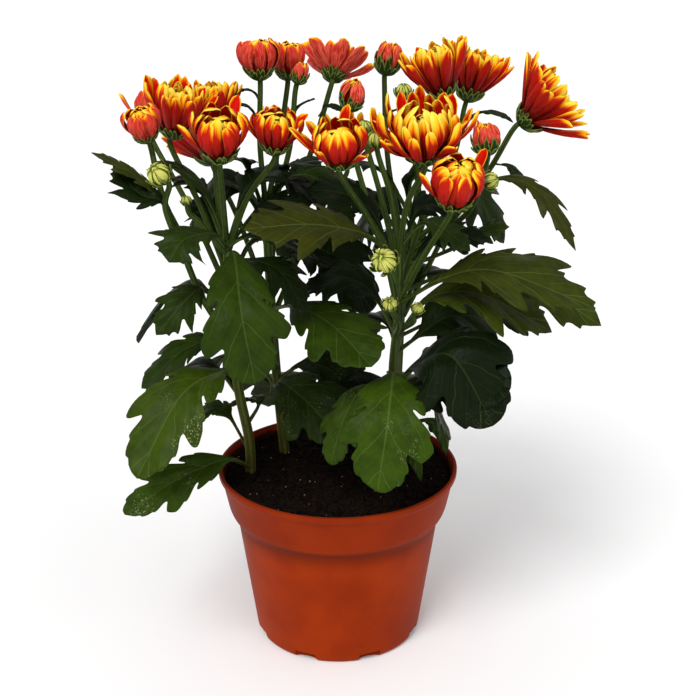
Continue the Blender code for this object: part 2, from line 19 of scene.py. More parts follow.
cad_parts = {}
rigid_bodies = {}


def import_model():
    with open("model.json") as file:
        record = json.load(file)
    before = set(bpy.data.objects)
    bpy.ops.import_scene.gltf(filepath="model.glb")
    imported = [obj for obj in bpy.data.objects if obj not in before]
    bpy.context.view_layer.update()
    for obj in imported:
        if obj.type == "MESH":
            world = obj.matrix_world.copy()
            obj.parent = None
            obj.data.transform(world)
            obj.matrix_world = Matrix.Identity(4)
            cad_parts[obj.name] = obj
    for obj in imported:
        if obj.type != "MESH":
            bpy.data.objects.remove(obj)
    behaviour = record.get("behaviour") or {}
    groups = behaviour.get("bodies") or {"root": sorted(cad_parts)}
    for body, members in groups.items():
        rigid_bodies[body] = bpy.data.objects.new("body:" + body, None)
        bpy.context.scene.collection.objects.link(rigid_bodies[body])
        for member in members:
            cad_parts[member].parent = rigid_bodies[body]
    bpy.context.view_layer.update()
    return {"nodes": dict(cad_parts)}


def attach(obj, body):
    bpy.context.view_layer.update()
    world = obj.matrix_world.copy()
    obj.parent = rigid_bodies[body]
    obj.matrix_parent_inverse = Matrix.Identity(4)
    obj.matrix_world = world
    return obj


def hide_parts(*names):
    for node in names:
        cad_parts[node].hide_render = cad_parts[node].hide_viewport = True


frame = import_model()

MM = 0.001
print("nodes in the part:", len(frame["nodes"]))

# %% [markdown]
# The plant's layout
#
# A plant can't be described by one formula, so its stems, heads and leaves are placed one by one,
# each by a few points, and curves run through them. The leaves that only fill the plant out,
# most of them at its back, need no more than a height, a heading and a reach.

# %% The layout
LEFT, RIGHT, MIDDLE, FAR = "left_stem", "right_stem", "middle_stem", "far_stem"
STEMS = {
    LEFT: ((-48, 2, 80), (-48, 0, 88), (-48, -2, 113), (-53, -8, 150), (-55, -15, 197), (-55, -19, 232)),
    RIGHT: ((34, -6, 80), (34, -7, 88), (32, -10, 122), (29, -14, 155), (31, -18, 190), (31, -21, 226)),
    MIDDLE: ((-30, 25, 80), (-30, 25, 88), (-34, 26, 138), (-37, 26, 200), (-38, 24, 242)),
    FAR: ((30, 32, 80), (30, 32, 88), (33, 32, 136), (36, 32, 190), (47, 30, 233)),
}

# A side shoot: its stem's name and its points.
SHOOTS = (
    (LEFT, ((-54, -12, 171), (-62, -20, 189), (-69, -30, 208), (-77, -39, 238))),
)

# Each head: its name, kind, size and stem, the three points of its stalk, and its axis.
HEADS = (
    ("o", "half", 1.1, LEFT, ((-55, -19, 229), (-55, -32, 255), (-54, -50, 277)), (0.05, -0.35, 1.0)),
    ("n", "half", 0.9, LEFT, ((-55, -18, 222), (-44, -24, 252), (-30, -30, 276)), (0.15, -0.2, 1.0)),
    ("p", "fan", 1.0, LEFT, ((-55, -16, 210), (-68, -12, 245), (-81, -8, 279)), (0.2, -0.1, 1.0)),
    ("q", "cup", 0.8, LEFT, ((-77, -39, 236), (-84, -39, 262), (-89, -34, 283)), (-0.2, -0.4, 1.0)),
    ("s", "fan", 0.9, LEFT, ((-55, -16, 206), (-61, 4, 246), (-64, 20, 277)), (-0.05, 0.0, 1.0)),
    ("r", "half", 0.9, LEFT, ((-55, -15, 200), (-76, 10, 238), (-96, 30, 274)), (0.0, 0.35, 1.0)),
    ("a", "cup", 0.94, MIDDLE, ((-38, 24, 238), (-40, 22, 270), (-39, 20, 303)), (0.0, 0.0, 1.0)),
    ("b", "cup", 0.88, MIDDLE, ((-38, 25, 232), (-31, 33, 266), (-26, 38, 300)), (0.05, 0.0, 1.0)),
    ("c", "bud", 0.66, MIDDLE, ((-37, 26, 225), (-25, 22, 266), (-20, 20, 301)), (0.3, -0.1, 1.0)),
    ("d", "turned", 0.84, MIDDLE, ((-37, 26, 215), (-16, 44, 256), (-3, 52, 297)), (0.25, 0.8, 1.0)),
    ("back_left", "open", 1.0, MIDDLE, ((-37, 26, 180), (-54, 46, 222), (-69, 62, 250)), (-0.4, 0.6, 1.0)),
    ("back_mid", "half", 1.0, MIDDLE, ((-37, 26, 190), (-34, 58, 226), (-35, 80, 255)), (-0.1, 0.6, 1.0)),
    ("back_far", "open", 1.0, MIDDLE, ((-36, 26, 172), (-12, 61, 220), (4, 82, 243)), (0.0, 0.7, 1.0)),
    ("j", "bowl", 1.15, RIGHT, ((31, -21, 223), (34, -34, 252), (41, -45, 275)), (-0.05, -0.35, 1.0)),
    ("m", "half", 1.0, RIGHT, ((31, -18, 192), (21, -28, 233), (2, -50, 274)), (-0.05, -0.4, 1.0)),
    ("l", "cup", 1.12, RIGHT, ((31, -18, 196), (43, -38, 228), (53, -66, 259)), (0.15, -0.45, 1.0)),
    ("e", "bud", 0.95, RIGHT, ((31, -20, 210), (14, -2, 250), (6, 8, 290)), (0.25, -0.2, 1.0)),
    ("f", "bud", 1.0, FAR, ((38, 32, 200), (27, 32, 255), (25, 30, 304)), (0.15, 0.0, 1.0)),
    ("g", "fan", 1.0, FAR, ((47, 30, 231), (54, 20, 262), (54, 12, 295)), (-0.28, -0.05, 1.0)),
    ("h", "fan", 1.0, FAR, ((47, 30, 230), (62, 44, 258), (69, 54, 286)), (0.3, 0.1, 1.0)),
    ("i", "open", 1.08, FAR, ((42, 31, 215), (73, 15, 250), (92, 5, 283)), (1.1, -0.1, 0.9)),
    ("k", "bud", 1.0, FAR, ((41, 31, 210), (67, 4, 238), (74, -8, 271)), (-0.1, -0.2, 1.0)),
    ("back_right", "open", 1.0, FAR, ((36, 32, 180), (42, 65, 222), (49, 87, 246)), (0.1, 0.6, 1.0)),
    ("back_side", "cup", 0.9, FAR, ((36, 32, 172), (56, 54, 206), (68, 72, 231)), (0.3, 0.6, 1.0)),
)

# Each green bud: its stem, the points of its stalk, the way that it faces and its radius.
GREEN_BUDS = (
    (LEFT, ((-77, -39, 235), (-81, -46, 254), (-80, -53, 269)), (-0.4, -0.6, 0.7), 5.7),
    (LEFT, ((-55, -18, 222), (-67, -24, 240), (-73, -26, 250)), (-0.2, -0.2, 1.0), 2.6),
    (RIGHT, ((31, -17, 186), (29, -44, 213), (24, -60, 230)), (-0.3, -0.8, 0.6), 6.3),
    (RIGHT, ((30, -16, 178), (31, -36, 192), (26, -51, 206)), (-0.1, -0.7, 0.7), 3.6),
    (RIGHT, ((30, -16, 180), (38, -32, 191), (39, -41, 200)), (0.3, -0.5, 0.8), 3.0),
    (RIGHT, ((31, -21, 220), (27, -18, 250), (20, -14, 276)), (-0.1, -0.2, 1.0), 4.7),
    (RIGHT, ((31, -20, 214), (22, -12, 250), (14, -4, 280)), (-0.1, 0.0, 1.0), 4.0),
    (FAR, ((45, 30, 226), (40, 16, 262), (33, 0, 297)), (0.0, -0.1, 1.0), 4.2),
    (FAR, ((40, 31, 205), (62, 2, 238), (72, -24, 260)), (0.8, -0.3, 0.4), 4.3),
)

# Each leaf: its stem, the height or point where it leaves it, three points of its midrib out
# to the tip, its width, its roll round the midrib in degrees, and its tone, which is partly the
# leaf's own green and partly painted light and shade: 0 is the dark green of a leaf in shadow,
# 1 the bright green of a lit leaf and 2 the olive green of a leaf lit from above.
LEAVES = (
    (LEFT, 222, (-49, -46, 229), (-44, -75, 210), (-38, -81, 178), 46, 0, 0.42),
    (LEFT, 226, (-59, -42, 239), (-71, -58, 241), (-78, -64, 232), 34, -12, 0.3),
    (LEFT, (-67, -27, 203), (-67, -40, 211), (-74, -49, 207), (-87, -56, 193), 25, -25, 0.4),
    (LEFT, (-77, -39, 236), (-83, -42, 255), (-97, -42, 269), (-115, -42, 279), 17, -10, 1.6),
    (LEFT, (-76, -37, 240), (-82, -46, 256), (-93, -46, 260), (-106, -38, 272), 26, -30, 0.1),
    (LEFT, 229, (-63, -24, 252), (-75, -22, 266), (-89, -12, 268), 15, 0, 0.4),
    (LEFT, 156, (-59, -30, 163), (-77, -52, 159), (-97, -76, 126), 44, -12, 1.3),
    (LEFT, 166, (-63, -22, 177), (-80, -20, 170), (-101, -22, 151), 28, -20, 0.3),
    (LEFT, 96, (-58, -26, 112), (-80, -50, 113), (-106, -66, 101), 27, -38, 0.7),
    (LEFT, 104, (-58, 4, 122), (-67, 10, 126), (-82, 14, 119), 18, -20, 0.7),
    (LEFT, 132, (-56, 0, 146), (-62, 4, 148), (-72, 8, 141), 18, -20, 0.3),
    (LEFT, 122, (-43, 6, 130), (-48, 14, 130), (-60, 20, 122), 20, 0, 0.2),
    (LEFT, 226, (-42, -14, 240), (-28, -12, 245), (-12, -8, 246), 24, 35, 0.0),
    (LEFT, 226, (-45, -25, 233), (-31, -22, 231), (-9, -20, 219), 32, 0, 0.1),
    (LEFT, 218, (-43, -30, 222), (-28, -38, 219), (-16, -42, 201), 38, 0, 0.1),
    (LEFT, 150, (-46, 4, 158), (-40, 10, 156), (-34, 16, 146), 16, 0, 0.3),
    (MIDDLE, 178, (-22, -8, 191), (-2, -36, 190), (17, -60, 178), 46, 14, 0.5),
    (MIDDLE, 124, (-31, 5, 143), (-17, -16, 142), (2, -32, 127), 44, 30, 0.2),
    (MIDDLE, 136, (-20, 18, 148), (-4, 10, 148), (12, 4, 130), 36, 30, 0.3),
    (MIDDLE, 116, (-18, 14, 129), (1, 2, 140), (27, -12, 129), 48, 20, 0.0),
    (MIDDLE, 205, (-42, 24, 232), (-51, 20, 246), (-60, 14, 250), 34, 0, 0.0),
    (MIDDLE, 215, (-32, 18, 243), (-23, 14, 251), (-11, 12, 240), 30, 0, 0.0),
    (RIGHT, 220, (14, -40, 238), (-12, -57, 248), (-42, -72, 250), 42, -30, 2.0),
    (RIGHT, 142, (15, -28, 154), (4, -40, 142), (-3, -48, 120), 30, 0, 0.64),
    (RIGHT, 154, (28, -40, 165), (25, -68, 153), (20, -76, 119), 48, 0, 0.64),
    (RIGHT, 146, (41, -14, 150), (50, -12, 138), (60, -10, 116), 26, 10, 0.3),
    (RIGHT, 150, (41, -26, 153), (61, -42, 163), (86, -52, 164), 50, 42, 0.1),
    (RIGHT, 168, (44, -8, 176), (62, -4, 184), (84, -4, 166), 44, 35, 0.2),
    (RIGHT, 196, (52, -38, 215), (78, -44, 221), (125, -52, 205), 42, 24, 1.6),
    (RIGHT, 226, (42, -36, 243), (52, -42, 241), (64, -46, 232), 22, 15, 0.4),
    (RIGHT, 178, (20, -8, 195), (4, -7, 206), (-19, -5, 198), 40, -15, 0.0),
    (RIGHT, 205, (19, -8, 238), (4, -8, 250), (-16, -6, 252), 36, -20, 0.0),
    (RIGHT, 215, (39, -12, 240), (50, -8, 245), (62, -6, 241), 34, 20, 0.0),
    (RIGHT, 200, (44, -18, 226), (57, -20, 232), (76, -20, 230), 30, 20, 0.1),
    (RIGHT, 176, (46, -24, 200), (72, -32, 205), (107, -36, 187), 44, 20, 1.8),
    (RIGHT, 148, (40, -34, 168), (57, -48, 178), (77, -60, 147), 60, 25, 0.0),
    (RIGHT, 104, (36, -14, 110), (41, -19, 109), (44, -23, 98), 9, 0, 0.6),
    (FAR, 186, (60, 10, 203), (94, -8, 207), (135, -18, 184), 46, 32, 1.5),
    (FAR, 200, (62, 2, 220), (74, -6, 229), (87, -10, 234), 22, 30, 0.6),
    (FAR, 228, (78, -2, 256), (100, -20, 254), (116, -38, 230), 16, 15, 2.0),
    (FAR, 160, (62, 16, 180), (80, 16, 182), (102, 10, 168), 20, 15, 0.4),
    (FAR, 165, (46, 16, 178), (60, 8, 182), (81, 2, 162), 46, 20, 0.0),
    (FAR, 104, (48, 20, 114), (56, 12, 113), (59, 5, 101), 14, 0, 0.5),
    (FAR, (80, 10, 262), (86, 4, 262), (91, 0, 258), (95, -3, 249), 10, 0, 0.2),
    (LEFT, 226, (-46, -10, 251), (-38, 0, 257), (-24, 10, 260), 40, 0, 0.0),
    (LEFT, 204, (-44, -10, 225), (-33, -5, 226), (-20, 0, 224), 34, -20, 0.2),
    (LEFT, 196, (-62, -5, 229), (-67, 0, 238), (-74, 2, 245), 30, 0, 0.1),
    (MIDDLE, 190, (-25, 20, 209), (-13, 15, 210), (0, 10, 206), 38, 0, 0.0),
    (FAR, 208, (22, 22, 237), (14, 20, 246), (4, 15, 251), 44, 0, 0.0),
    (FAR, 214, (38, 28, 244), (42, 28, 253), (47, 28, 259), 40, 0, 0.0),
    (FAR, (63, 40, 268), (70, 24, 283), (79, 17, 287), (89, 10, 283), 9, 0, 0.3),
    (FAR, (26, 31, 276), (28, 28, 284), (31, 23, 287), (37, 20, 288), 8, 0, 0.3),
    (MIDDLE, (-39, 20, 290), (-42, 20, 296), (-47, 18, 298), (-52, 16, 295), 8, 0, 0.2),
    (MIDDLE, (-39, 21, 280), (-44, 22, 287), (-48, 20, 290), (-54, 18, 289), 9, 0, 0.2),
    (MIDDLE, (-24, 24, 282), (-20, 24, 288), (-16, 22, 291), (-11, 20, 293), 9, 0, 0.2),
    (MIDDLE, (-10, 48, 279), (-6, 38, 286), (-2, 34, 287), (3, 30, 284), 8, 0, 0.2),
    (MIDDLE, 230, (-46, 14, 258), (-50, 6, 265), (-56, -2, 266), 26, 0, 0.0),
    (MIDDLE, 226, (-28, 14, 256), (-20, 8, 262), (-8, 2, 262), 28, 0, 0.0),
    (FAR, 220, (26, 22, 252), (14, 14, 260), (0, 8, 262), 28, 0, 0.0),
    (FAR, 226, (56, 18, 252), (60, 8, 258), (64, -2, 258), 26, 0, 0.0),
    (LEFT, 224, (-66, -8, 248), (-74, -4, 256), (-84, 0, 256), 24, 0, 0.1),
)

# Leaves that fill the plant out: stem, height, heading in degrees from +X, reach, width, roll.
FILLERS = (
    (LEFT, 140, 168, 50, 36, 0),
    (LEFT, 186, 165, 52, 36, 0),
    (MIDDLE, 112, 100, 62, 40, 0),
    (MIDDLE, 130, 143, 64, 40, 0),
    (MIDDLE, 164, 115, 66, 42, 0),
    (MIDDLE, 204, 80, 54, 36, 0),
    (MIDDLE, 198, -8, 56, 44, 45),
    (MIDDLE, 236, 10, 48, 38, 40),
    (MIDDLE, 230, 165, 44, 34, -40),
    (FAR, 110, 70, 62, 40, 0),
    (FAR, 128, 25, 62, 40, 0),
    (FAR, 148, 112, 62, 42, 0),
    (FAR, 176, 48, 64, 42, 0),
    (FAR, 198, 92, 52, 34, 0),
    (FAR, 216, 146, 43, 38, -45),
    (FAR, 230, 8, 44, 36, 45),
)
FILLER_RISE, FILLER_CREST, FILLER_DROP, FILLER_SHARES = 14, 12, 18, (0.25, 0.6)
print("heads:", len(HEADS), "leaves:", len(LEAVES) + len(FILLERS))

# %% [markdown]
# Small tools for nodes
#
# Materials and Geometry Nodes are both trees of nodes, so one function serves them all: it adds
# a node, sets its properties and fills its sockets, either with a value or with a link. Colours
# are written as the hex values that a colour picker shows, and turned to the linear values that
# Blender computes with.

# %% Node and colour helpers
def node(tree, kind, inputs=None, **settings):
    """Adds a node with its settings; inputs maps a socket's name or number to a value or an output."""
    made = tree.nodes.new(kind)
    for key, value in settings.items():
        setattr(made, key, value)
    for key, value in (inputs or {}).items():
        if isinstance(value, bpy.types.NodeSocket):
            tree.links.new(value, made.inputs[key])
        else:
            made.inputs[key].default_value = value
    return made


def linear(hex_colour):
    """A colour picker's hex value as Blender's linear colour."""
    parts = [int(hex_colour[i:i + 2], 16) / 255 for i in (1, 3, 5)]
    return (*(c / 12.92 if c <= 0.04045 else ((c + 0.055) / 1.055) ** 2.4 for c in parts), 1.0)


def calc(operation, *values):
    """The output of one Math node, in the tree of the outputs among its values."""
    tree = next(value.id_data for value in values if isinstance(value, bpy.types.NodeSocket))
    return node(tree, "ShaderNodeMath", dict(enumerate(values)), operation=operation).outputs[0]


def times(first, second):
    return calc("MULTIPLY", first, second)


def plus(first, second):
    return calc("ADD", first, second)


def less(first, second):
    """The first value less the second."""
    return calc("SUBTRACT", first, second)


def greater(first, second):
    """The greater of two values."""
    return calc("MAXIMUM", first, second)


def blended(share, *colours):
    """A mix of two colours, each a hex value or an output; the share is the second one's."""
    first, second = (linear(colour) if isinstance(colour, str) else colour for colour in colours)
    inputs = {"Factor": share, 6: first, 7: second}
    return node(share.id_data, "ShaderNodeMix", inputs, data_type="RGBA").outputs[2]


def tinted(base, mask, share, colour):
    """The base, with that share of the colour wherever the mask is 1."""
    return blended(times(mask, share), base, colour)


def stepped(value, low, high):
    """A smooth step: 0 where the value is at low, 1 where it is at high."""
    inputs = {"Value": value, "From Min": low, "From Max": high}
    made = node(value.id_data, "ShaderNodeMapRange", inputs, interpolation_type="SMOOTHSTEP")
    return made.outputs["Result"]


def coordinate(place, axis):
    return node(place.id_data, "ShaderNodeSeparateXYZ", {0: place}).outputs[axis]


def from_axis(place):
    """How far a place lies from the plant's Z axis."""
    tree = place.id_data
    flat = node(tree, "ShaderNodeVectorMath", {0: place, 1: (1.0, 1.0, 0.0)}, operation="MULTIPLY")
    return node(tree, "ShaderNodeVectorMath", {0: flat.outputs[0]}, operation="LENGTH").outputs["Value"]


def material(name, roughness, ior=1.45, specular=0.5):
    """A new material: its tree, its shader, and the material itself."""
    made = bpy.data.materials.new(name)
    made.use_nodes = True
    shader = made.node_tree.nodes["Principled BSDF"]
    shader.inputs["Roughness"].default_value = roughness
    shader.inputs["IOR"].default_value = ior
    shader.inputs["Specular IOR Level"].default_value = specular
    return made.node_tree, shader, made


def attribute(tree, name):
    """A number that the mesh carries at each of its points."""
    return node(tree, "ShaderNodeAttribute", attribute_name=name).outputs["Fac"]


def object_place(tree):
    return node(tree, "ShaderNodeTexCoord").outputs["Object"]


def stretched(place, scale):
    """The same place with its Z scaled, for a noise that is longer or flatter than it is wide."""
    return node(place.id_data, "ShaderNodeMapping", {"Vector": place, "Scale": (1.0, 1.0, scale)}).outputs[0]


def noise(place, size_mm, detail=3.0, roughness=0.5):
    """A noise whose patches are about that many millimetres wide."""
    inputs = {"Vector": place, "Scale": 1 / (size_mm * MM), "Detail": detail, "Roughness": roughness}
    return node(place.id_data, "ShaderNodeTexNoise", inputs).outputs["Fac"]


def dress(shader, colour, height, depth_mm):
    """Gives the shader its colour, and dents whose full range is that many millimetres deep."""
    tree = colour.id_data
    dents = node(tree, "ShaderNodeBump", {"Height": height, "Distance": depth_mm * MM, "Strength": 1.0})
    tree.links.new(colour, shader.inputs["Base Color"])
    tree.links.new(dents.outputs["Normal"], shader.inputs["Normal"])


# %% [markdown]
# Polypropylene of the pot
#
# Nursery pots are injection moulded from recycled polypropylene, coloured terracotta. It is a
# little waxy, so its gloss is soft. Dust from the bench dulls it near the foot, and the band is
# a little darker than the body. The corner under the band is darkened as painted shade, the
# shadow that the band's ledge casts, and the wall inside is darkened partly by peat stain and
# partly as painted shade inside the pot. All of those are colour, laid on by height and by
# distance from the axis. The fine scuffs that run round the pot are bump.

# %% The pot's material
# Heights in metres. Each pair runs from where a mark begins to where it is full. The pair
# for the corner under the band is painted shade, and the pairs for the wall inside are peat stain
# and painted shade.
DUST_HEIGHTS = (0.03, 0.0)
LEDGE_SHADE_TOP, LEDGE_SHADE_FOOT = (0.0755, 0.0728), (0.058, 0.072)
BAND_EDGE = (0.073, 0.076)
STAIN_SHADE_TOP, STAIN_SHADE_FOOT, STAIN_SHADE_RAGGED = (0.0995, 0.0975), (0.0775, 0.0795), 0.006
# The wall's inner face above the band's foot: its slope and its radius where the height is 0.
INNER_SLOPE, INNER_RADIUS, INNER_BLUR = 0.2115, 0.0435, 0.0003


def pot_plastic():
    tree, shader, made = material("moulded_terracotta_polypropylene", 0.5, 1.49, 0.05)
    place = object_place(tree)
    height = coordinate(place, "Z")
    base = blended(stepped(noise(place, 30, 4.0), 0.3, 0.75), "#983004", "#842603")
    dust = times(stepped(noise(place, 3.5, 6.0, 0.7), 0.5, 0.8), stepped(height, *DUST_HEIGHTS))
    base = tinted(base, dust, 0.5, "#5C2410")
    base = tinted(base, stepped(noise(place, 0.9, 2.0), 0.71, 0.76), 0.35, "#B4552C")
    # Painted shade: the corner under the band is darkened where the band's ledge casts its shadow.
    corner = times(stepped(height, *LEDGE_SHADE_TOP), stepped(height, *LEDGE_SHADE_FOOT))
    base = tinted(base, corner, 0.62, "#4A1204")
    base = tinted(base, stepped(height, *BAND_EDGE), 0.3, "#6A1A06")
    # The inner face of the wall above the soil is darkened, partly as peat stain and partly as painted shade
    # inside the pot.
    wall = plus(times(height, INNER_SLOPE), INNER_RADIUS)
    inner = stepped(less(wall, from_axis(place)), 0.0, INNER_BLUR)
    ragged = plus(height, times(noise(place, 5, 4.0, 0.7), STAIN_SHADE_RAGGED))
    stain_and_shade = times(times(inner, stepped(ragged, *STAIN_SHADE_TOP)), stepped(height, *STAIN_SHADE_FOOT))
    base = tinted(base, stain_and_shade, 0.9, "#1C0F0A")
    dress(shader, base, noise(stretched(place, 6.0), 5, 5.0, 0.65), 0.06)
    return made


# %% [markdown]
# Peat
#
# Potting peat is nearly black when it is moist, with browner crumbs where it has dried. The pale
# grains of perlite in it are real geometry further down; this material only varies the brown.

# %% The soil's materials
def peat():
    tree, shader, made = material("moist_peat", 0.95, 1.4, 0.1)
    place = object_place(tree)
    patches = stepped(noise(place, 2.2, 6.0, 0.7), 0.35, 0.7)
    dress(shader, blended(patches, "#050304", "#24170F"), noise(place, 1.2, 6.0, 0.75), 0.8)
    return made


def perlite():
    _, shader, made = material("expanded_perlite", 0.9, 1.5, 0.3)
    shader.inputs["Base Color"].default_value = linear("#8C7E6C")
    return made


# %% [markdown]
# Leaf, stem and petal
#
# A leaf's upper face is a thin waxy skin over dark green cells, so it has a broad soft gloss.
# Its veins are paler and sunk, and the face swells between them. Every leaf carries two numbers
# at each of its points: how far along the midrib it lies and how far across the blade. Lines of
# equal "along less a share of across" run from the midrib out to the lobes as veins do, with
# finer ones between them. A third number is the leaf's tone, partly its own green and partly
# painted light and shade: low for a leaf that stands in shadow, high for a lit one. The
# underside is paler and matt.

# %% The greens
VEIN_STEP, VEIN_SLANT, VEIN_START, VEIN_WANDER = 0.25, 0.42, 0.12, 0.07
VEIN_WIDTH, MINOR_WIDTH, FINEST_WIDTH = 0.03, 0.035, 0.06
MINOR_SHARE, FINEST_SHARE = 0.5, 0.22
MIDRIB_WIDTH, MIDRIB_TAPER, MIDRIB_CORE = 0.052, 0.04, 0.006


def vein_pattern(place, along, across):
    """Two outputs: the fine lines of the veins, and the swelling between them, both 0 to 1."""
    aside = calc("ABSOLUTE", across)
    wander = times(less(noise(place, 10, 2.0), 0.5), VEIN_WANDER)
    shifted = plus(less(along, times(aside, VEIN_SLANT)), wander)
    turns = calc("DIVIDE", less(shifted, VEIN_START), VEIN_STEP)

    def lines_every(share, half_width):
        fine = plus(calc("DIVIDE", turns, share), 0.5)
        away = calc("ABSOLUTE", less(calc("FRACT", fine), 0.5))
        return away, stepped(away, half_width, half_width * 0.2)

    between, main = lines_every(1.0, VEIN_WIDTH)
    minor = lines_every(0.5, MINOR_WIDTH)[1]
    finest = lines_every(0.25, FINEST_WIDTH)[1]
    side = greater(greater(main, times(minor, MINOR_SHARE)), times(finest, FINEST_SHARE))
    side = times(side, stepped(aside, 1.0, 0.3))
    midrib = stepped(aside, less(MIDRIB_WIDTH, times(along, MIDRIB_TAPER)), MIDRIB_CORE)
    return greater(side, midrib), times(stepped(between, 0.0, 0.5), stepped(aside, 0.0, 0.25))


# How deep each part of the relief is, as a share of LEAF_RELIEF in millimetres.
LEAF_RELIEF, SWELL_SHARE, QUILT_SHARE, CELL_SHARE, VEIN_SINK = 1.0, 0.45, 0.7, 0.16, 0.12
# Hard water leaves pale specks on the low leaves, in patches between these heights in metres.
SPECK_HEIGHTS = (0.17, 0.14)


def leaf_skin(name, shade, bright, olive, vein_colour, roughness):
    tree, shader, made = material(name, roughness, 1.42, 0.09)
    place = object_place(tree)
    light_tone = attribute(tree, "light_tone")
    # How lit the leaf is painted: tone 0 is painted shade and 1 painted light; lit leaves also show their
    # veins and specks more.
    lit_share = stepped(light_tone, 0.0, 1.0)
    base = blended(stepped(light_tone, 1.0, 2.0), blended(lit_share, shade, bright), olive)
    base = tinted(base, stepped(noise(place, 9, 4.0, 0.6), 0.3, 0.75), 0.5, "#0E1A04")
    lines, swell = vein_pattern(place, attribute(tree, "along"), attribute(tree, "across"))
    base = tinted(base, lines, plus(0.1, times(lit_share, 0.22)), vein_colour)
    patch = times(stepped(coordinate(place, "Z"), *SPECK_HEIGHTS), stepped(noise(place, 16, 1.0), 0.5, 0.66))
    specks = times(patch, stepped(noise(place, 0.8, 1.0), 0.6, 0.68))
    base = tinted(base, specks, plus(0.12, times(lit_share, 0.45)), "#A9B07C")
    height = plus(times(swell, SWELL_SHARE), times(noise(place, 6, 2.0), QUILT_SHARE))
    height = plus(height, times(noise(place, 1.2, 3.0, 0.6), CELL_SHARE))
    dress(shader, base, less(height, times(lines, VEIN_SINK)), LEAF_RELIEF)
    return made


def stem_skin():
    tree, shader, made = material("ribbed_green_stem", 0.5, 1.42, 0.1)
    place = object_place(tree)
    streak = stretched(place, 0.15)
    base = blended(stepped(coordinate(place, "Z"), 0.19, 0.1), "#2E3E12", "#463E16")
    base = tinted(base, stepped(attribute(tree, "across"), 0.2, 1.0), 0.5, "#5C7030")
    base = blended(stepped(noise(streak, 1.5, 3.0), 0.5, 0.8), base, "#1F2C0C")
    dress(shader, base, noise(streak, 0.8, 2.0), 0.1)
    return made


def sepal_skin(name, dark, pale):
    """The green of bracts and closed buds, which pales along their edges."""
    tree, shader, made = material(name, 0.5, 1.42, 0.1)
    across = calc("ABSOLUTE", attribute(tree, "across"))
    rim = greater(stepped(across, 0.55, 0.95), stepped(attribute(tree, "along"), 0.82, 1.0))
    dress(shader, blended(rim, dark, pale), stepped(across, 0.35, 0.0), 0.3)
    return made


# %% [markdown]
# Petals
#
# This cultivar is a bicolour: each ray floret is orange-red with a yellow tip and a yellow hem,
# and the younger it is, the more of it is yellow. Its back is a duller rose-red with fine
# streaks, paler still on a head that has yet to open. All of that is a matter of where on the
# petal a point lies, so the petal carries the numbers along, across and under (0 on its upper
# face, 1 on its back), and the head adds gilt, which rises from its outer to its inner petals,
# and pale, which is high for a closed head.

# %% The petal's material
STREAK_SPREAD, STREAK_LENGTH, STREAK_DEPTH = 40.0, 0.8, 9.0
REACH_STREAK, REACH_CHANCE = 0.5, 0.16
ORANGE, GOLD, LEMON = "#F06A06", "#FCC61A", "#FFEA5C"


def petal_velvet():
    tree, shader, made = material("bicolour_ray_floret", 0.5, 1.4, 0.06)
    names = ("along", "across", "chance", "under", "gilt", "pale")
    along, side, chance, under, gilt, pale = (attribute(tree, name) for name in names)
    across = calc("ABSOLUTE", side)
    # Streaks about a third of the petal wide and much longer than that, other ones on each petal.
    flat = node(tree, "ShaderNodeCombineXYZ", {
        "X": plus(side, times(chance, STREAK_SPREAD)), "Y": times(along, STREAK_LENGTH),
        "Z": times(chance, STREAK_DEPTH)}).outputs[0]
    streak, fine = (
        node(tree, "ShaderNodeTexNoise", {"Vector": flat, "Scale": scale, "Detail": detail}).outputs["Fac"]
        for scale, detail in ((1.7, 3.0), (5.0, 1.0)))
    lines = stepped(fine, 0.35, 0.65)
    reach = plus(along, times(less(streak, 0.5), REACH_STREAK))
    reach = plus(reach, times(less(chance, 0.5), REACH_CHANCE))

    def ripened(red, start, pull, edge_low, edge_high):
        """Red at the root, then orange, then yellow at the tip and along the hem."""
        way = less(reach, less(start, times(gilt, pull)))
        way = plus(way, times(stepped(across, 0.25, 1.0), 0.2))
        hem = times(stepped(across, edge_low, edge_high), stepped(along, 0.35, 0.75))
        yellow = greater(stepped(way, 0.07, 0.24), times(hem, 0.85))
        ripe = blended(stepped(way, 0.12, 0.5), GOLD, LEMON)
        return blended(yellow, blended(stepped(way, 0.0, 0.14), red, ORANGE), ripe)

    red = blended(stepped(reach, 0.1, 0.8), "#760301", "#CC1203")
    rose = blended(stepped(reach, 0.05, 0.75), "#620201", "#BA0E04")
    rose = tinted(rose, lines, 0.35, "#7C0A06")
    salmon = blended(lines, "#C22E26", "#EC6A52")
    start = plus(0.88, times(pale, 0.12))
    back = ripened(blended(pale, rose, salmon), start, 0.38, 0.9, 1.3)
    upper = ripened(red, 0.96, 0.36, 0.76, 0.96)
    shader.inputs["Subsurface Weight"].default_value = 0.2
    shader.inputs["Subsurface Radius"].default_value = (0.002, 0.0008, 0.0003)
    dress(shader, blended(under, upper, back), lines, 0.06)
    return made


PLASTIC, PEAT, PERLITE = pot_plastic(), peat(), perlite()
LEAF_UPPER = leaf_skin("waxy_upper_leaf", "#0A1503", "#374E07", "#343708", "#64773A", 0.42)
LEAF_UNDER = leaf_skin("matt_lower_leaf", "#18250A", "#3A4C12", "#3B3F1A", "#5C6E34", 0.6)
STEM_GREEN = stem_skin()
SEPAL = sepal_skin("green_bract", "#25380E", "#76863C")
YOUNG_BUD = sepal_skin("yellow_green_bud", "#D6D66A", "#4E6A1C")
PETAL = petal_velvet()
print("materials:", len(bpy.data.materials))

